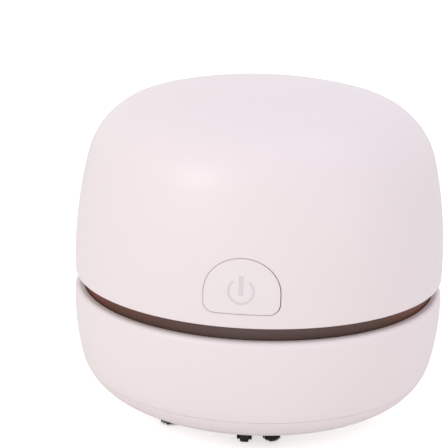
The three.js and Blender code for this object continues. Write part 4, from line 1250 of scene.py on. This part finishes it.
def nozzle_profile():
    flare = [(THROAT_RADIUS + FLARE_WIDTH * (1 - i / 10) ** 2, LAND_Z + FLARE_HEIGHT * i / 10)
             for i in range(11)]
    flare[0] = (THROAT_RADIUS + FLARE_WIDTH + 0.2, LAND_Z)
    top = CUP_FLOOR_Z + 3.0
    throat = [(THROAT_RADIUS, top - 0.2), (THROAT_RADIUS + 0.2, top), (NOZZLE_OUTER - 0.2, top),
              (NOZZLE_OUTER, top - 0.2)]
    low, high = FLOOR_TOP_Z + 0.3, FLOOR_TOP_Z + 1.4
    flange = [(NOZZLE_OUTER, high + 0.3), (NOZZLE_OUTER + 0.3, high),
              (FLANGE_RADIUS - 0.2, high), (FLANGE_RADIUS, high - 0.2),
              (FLANGE_RADIUS, low + 0.2), (FLANGE_RADIUS - 0.2, low),
              (10.0, low), (10.0, LAND_Z + 0.2), (9.8, LAND_Z)]
    return flare + throat + flange


nozzle_black = moulded_plastic("nozzle_black", (30, 29, 30), (22, 22, 23), 0.4)
nozzle = turned("nozzle", nozzle_profile(), PLAIN_STEPS, closed=True)
install(nozzle, "base", "black_plastic", nozzle_black, "suction_nozzle")

# %% [markdown]
# ## The underside of the head
#
# When the head is lifted off, one looks at its chassis: a plate with a skirt that plugs into the
# cup, an intake eye behind six spokes, and a ring of notches at the edge, through which the air
# gets out. A rubber ring seals the skirt, and four screws hold the plate.

# %% Chassis
PLATE_RADIUS = HEAD_RADIUS - HEAD_WALL - 0.3
SKIRT_Z = PLATE_Z - 3.4
EYE_RADIUS = 10.5
EYE_SPOKES = 6
NOTCHES = 24
NOTCH_HALF = 2.2
SCREW_PLACES = [on_circle(SCREW_CIRCLE, angle) for angle in SCREW_ANGLES]


def board_holders():
    """Two grooved rails that the control board slides into, and two feet for the charging board."""
    (left, y0, _), (right, y1, _) = reach("control_board")
    y = (y0 + y1) / 2
    foot_z = PLATE_TOP_Z - 0.4
    posts = [block("rail", (x - 1.5, y - 1.5, foot_z), (x + 1.5, y + 1.5, PLATE_TOP_Z + 7))
             for x in (left, right)]
    groove = block(
        "groove", (left - 0.3, y0 - 0.3, PLATE_TOP_Z), (right + 0.3, y1 + 0.3, PLATE_TOP_Z + 9))
    rails = carve(round_edges(join(*posts), 0.15), groove)
    (left, y0, top), (right, y1, _) = reach("charge_board")
    feet = [block("foot", (x - 1.5, y0, foot_z), (x + 1.5, y1, top - 0.3)) for x in (left, right)]
    return join(rails, round_edges(join(*feet), 0.15))


def chassis():
    plate = [
        *arc((EYE_RADIUS + 0.3, PLATE_Z + 0.3), 0.3, math.pi, math.pi * 1.5, 3),
        *arc((SKIRT_INNER - 0.5, PLATE_Z - 0.5), 0.5, math.pi / 2, 0, 4),
        (SKIRT_INNER, SKIRT_Z + 0.3), (SKIRT_INNER + 0.3, SKIRT_Z),
        *arc((SKIRT_OUTER - 0.4, SKIRT_Z + 0.4), 0.4, -math.pi / 2, 0, 4), (SKIRT_OUTER, PLATE_Z),
        (PLATE_RADIUS, PLATE_Z), (PLATE_RADIUS, PLATE_TOP_Z), (EYE_RADIUS, PLATE_TOP_Z)]
    body = turned("chassis", plate, closed=True)
    ring = [(4.0, PLATE_Z), (5.2, PLATE_Z), (5.2, PLATE_TOP_Z), (4.0, PLATE_TOP_Z)]
    eye_ring = turned("eye_ring", ring, 64, closed=True)
    spoke = block("spoke", (4.8, -0.6, PLATE_Z + 0.1), (EYE_RADIUS + 0.4, 0.6, PLATE_TOP_Z - 0.1))
    spokes = round_edges(round_the_axis(spoke, EYE_SPOKES), 0.2)
    carve(body, carve(round_edges(eye_ring, 0.2), spokes, "UNION"), "UNION")
    low, high = PLATE_Z - 1, PLATE_TOP_Z + 1
    notch = block(
        "notch", (PLATE_RADIUS - 1.6, -NOTCH_HALF, low), (PLATE_RADIUS + 1, NOTCH_HALF, high))
    carve(body, round_the_axis(notch, NOTCHES))
    carve(body, board_holders(), "UNION")
    pocket = block(
        "button_pocket", (-9.4, -HEAD_RADIUS, BUTTON_FOOT_Z - 0.3), (9.4, 1.1 - SKIRT_OUTER, high))
    holes = [drum("screw_hole", SCREW_HOLE, low, high, x, y, 24) for x, y in SCREW_PLACES]
    return smooth(carve(body, join(pocket, *holes)))


inner_white = satin_plastic("inner_white", (226, 223, 222), (218, 214, 213), 0.45, 0.01)
install(chassis(), "head", "inner_plastic", inner_white, "head_chassis")

# %% Seal and screws
def sealing_rubber(name):
    material, place = new_material(name)
    bloom = noise(place, 0.6, detail=4.0)
    tint = mixed(bloom, (44, 42, 43), (66, 63, 64))
    pits = noise(place, 4.0, detail=3.0)
    return finish_material(material, tint, bloom * 0.2 + 0.6, pits, 0.015, Specular_IOR_Level=0.35)


def seal_profile():
    low, high = CUP_RIM_Z + 0.1, CUP_RIM_Z + 0.9
    middle = (low + high) / 2
    edge = CUP_RADIUS - 0.8
    return [(SKIRT_OUTER + 0.1, low), (edge - 0.15, low), (edge, low + 0.15), (edge - 0.2, middle),
            (edge, high - 0.15), (edge - 0.15, high), (SKIRT_OUTER + 0.1, high)]


def cross_screw():
    """A pan head with a cross socket over a threaded shank."""
    head = PLATE_Z - 0.1
    shank = [(0, head - 1.2), (1.1, head - 1.2), (1.6, head - 0.98), (1.86, head - 0.6),
             (1.9, head - 0.3), (1.9, head), (1.0, head)]
    thread = [(1.0 - (0.18 if i % 2 else 0.0), head + 0.8 + 0.35 * i) for i in range(18)]
    screw = turned("screw", shank + thread + [(0.5, head + 7.6), (0, head + 8)], 32)
    for x, y in ((1.05, 0.19), (0.19, 1.05)):
        carve(screw, block("cross", (-x, -y, head - 2), (x, y, head - 0.55)))
    return smooth(screw)


seal_black = sealing_rubber("seal_black")
install(turned("seal", seal_profile(), closed=True), "head", "seal_rubber", seal_black, "seal_ring")
screw_steel = brushed_steel("screw_steel", 3.0)
install_copies(
    SCREW_PLACES, (cross_screw(), "plate_screw", "head", "steel", screw_steel, "head_screw"))

# %% [markdown]
# ## The charging socket
#
# Through the hole at the back one sees a socket: a thin steel shell with round ends, and in it a
# black tongue with a row of gold contacts on each face.

# %% Charging socket
SOCKET_BACK = socket_low.y
SOCKET_LENGTH = socket_high.y - socket_low.y
SHELL_SIZE = (8.9, 3.2)
HOLLOW_SIZE = (8.1, 2.4)
TONGUE_HALF = 0.36


def socket_shell():
    shell = pill_block("socket_shell", *SHELL_SIZE, SOCKET_Z, SOCKET_BACK, SOCKET_LENGTH)
    carve(shell, pill_block("hollow", *HOLLOW_SIZE, SOCKET_Z, SOCKET_BACK + 0.8, SOCKET_LENGTH))
    return round_edges(shell, 0.08)


def socket_tongue():
    low, high = SOCKET_BACK + 0.4, SOCKET_BACK + SOCKET_LENGTH - 0.8
    half = TONGUE_HALF
    tongue = round_edges(
        block("socket_tongue", (-2.85, low, SOCKET_Z - half), (2.85, high, SOCKET_Z + half)), 0.12)
    contacts = [block("contact", (-2.5 + 0.5 * i, low + 1, SOCKET_Z + side * half - 0.03),
                      (-2.25 + 0.5 * i, high - 0.5, SOCKET_Z + side * half + 0.03))
                for i in range(10) for side in (-1, 1)]
    return tongue, join(*contacts)


socket_steel = brushed_steel("socket_steel", 3.0)
tongue_black = moulded_plastic("tongue_black", (26, 26, 27), (18, 18, 19), 0.45)
contact_gold = brushed_metal("contact_gold", (196, 158, 86), (224, 190, 118), 4.0)
tongue, contacts = socket_tongue()
install(socket_shell(), "head", "steel", socket_steel, "charge_socket")
install(tongue, "head", "black_plastic", tongue_black)
install(contacts, "head", "steel", contact_gold)

# %% [markdown]
# ## Inside the head
#
# The fan housing, the motor and the electronics are only seen when the head is opened, so the CAD
# solids stay as they are. They still get materials of their own: brushed steel on the motor can, a
# green solder mask with faint copper tracks on the boards, and a printed sleeve on the cell.

# %% Materials of the inner parts
def circuit_board(name):
    material, place = new_material(name)
    grid = place.node("ShaderNodeTexBrick", {"offset": 0.5}, inputs={
        "Vector": place, "Scale": 0.35 / MM, "Mortar Size": 0.06, "Mortar Smooth": 0.3,
        "Color1": linear(26, 88, 52), "Color2": linear(22, 80, 47), "Mortar": linear(44, 112, 62)})
    weave = noise(place, 2.0)
    tint = mixed(weave * 0.4, grid, (18, 70, 40))
    return finish_material(material, tint, weave * 0.1 + 0.3, weave, 0.01, Coat_Weight=0.4)


def shrink_sleeve(name):
    material, place = new_material(name)
    waves = place.node("ShaderNodeTexWave", {"bands_direction": "X"}, inputs={
        "Vector": place, "Scale": 0.05 / MM, "Distortion": 1.5, "Detail": 2.0})
    tint = mixed(waves * 0.35, (38, 92, 158), (30, 74, 132))
    folds = noise(place, 0.5)
    return finish_material(material, tint, folds * 0.15 + 0.25, folds, 0.05, Coat_Weight=0.3)


inner_finishes = {
    "fan_housing": inner_white,
    "impeller": moulded_plastic("fan_grey", (58, 56, 58), (46, 45, 46), 0.4),
    "motor_shaft": brushed_steel("shaft_steel", 4.0),
    "motor_can": brushed_steel("can_steel", 1.5),
    "motor_end_cap": moulded_plastic("cap_black", (28, 28, 29), (20, 20, 21), 0.5),
    "battery_cell": shrink_sleeve("cell_blue"),
    "control_board": circuit_board("board_green"),
    "charge_board": circuit_board("charge_board_green"),
    "tact_switch": moulded_plastic("switch_black", (30, 30, 31), (22, 22, 23), 0.45),
    "switch_stem": moulded_plastic("stem_white", (222, 220, 216), (208, 206, 202), 0.4),
}
for node, material in inner_finishes.items():
    dress(frame["nodes"][node], material)
    smooth(frame["nodes"][node], 25)
print("dressed", len(inner_finishes), "CAD nodes")
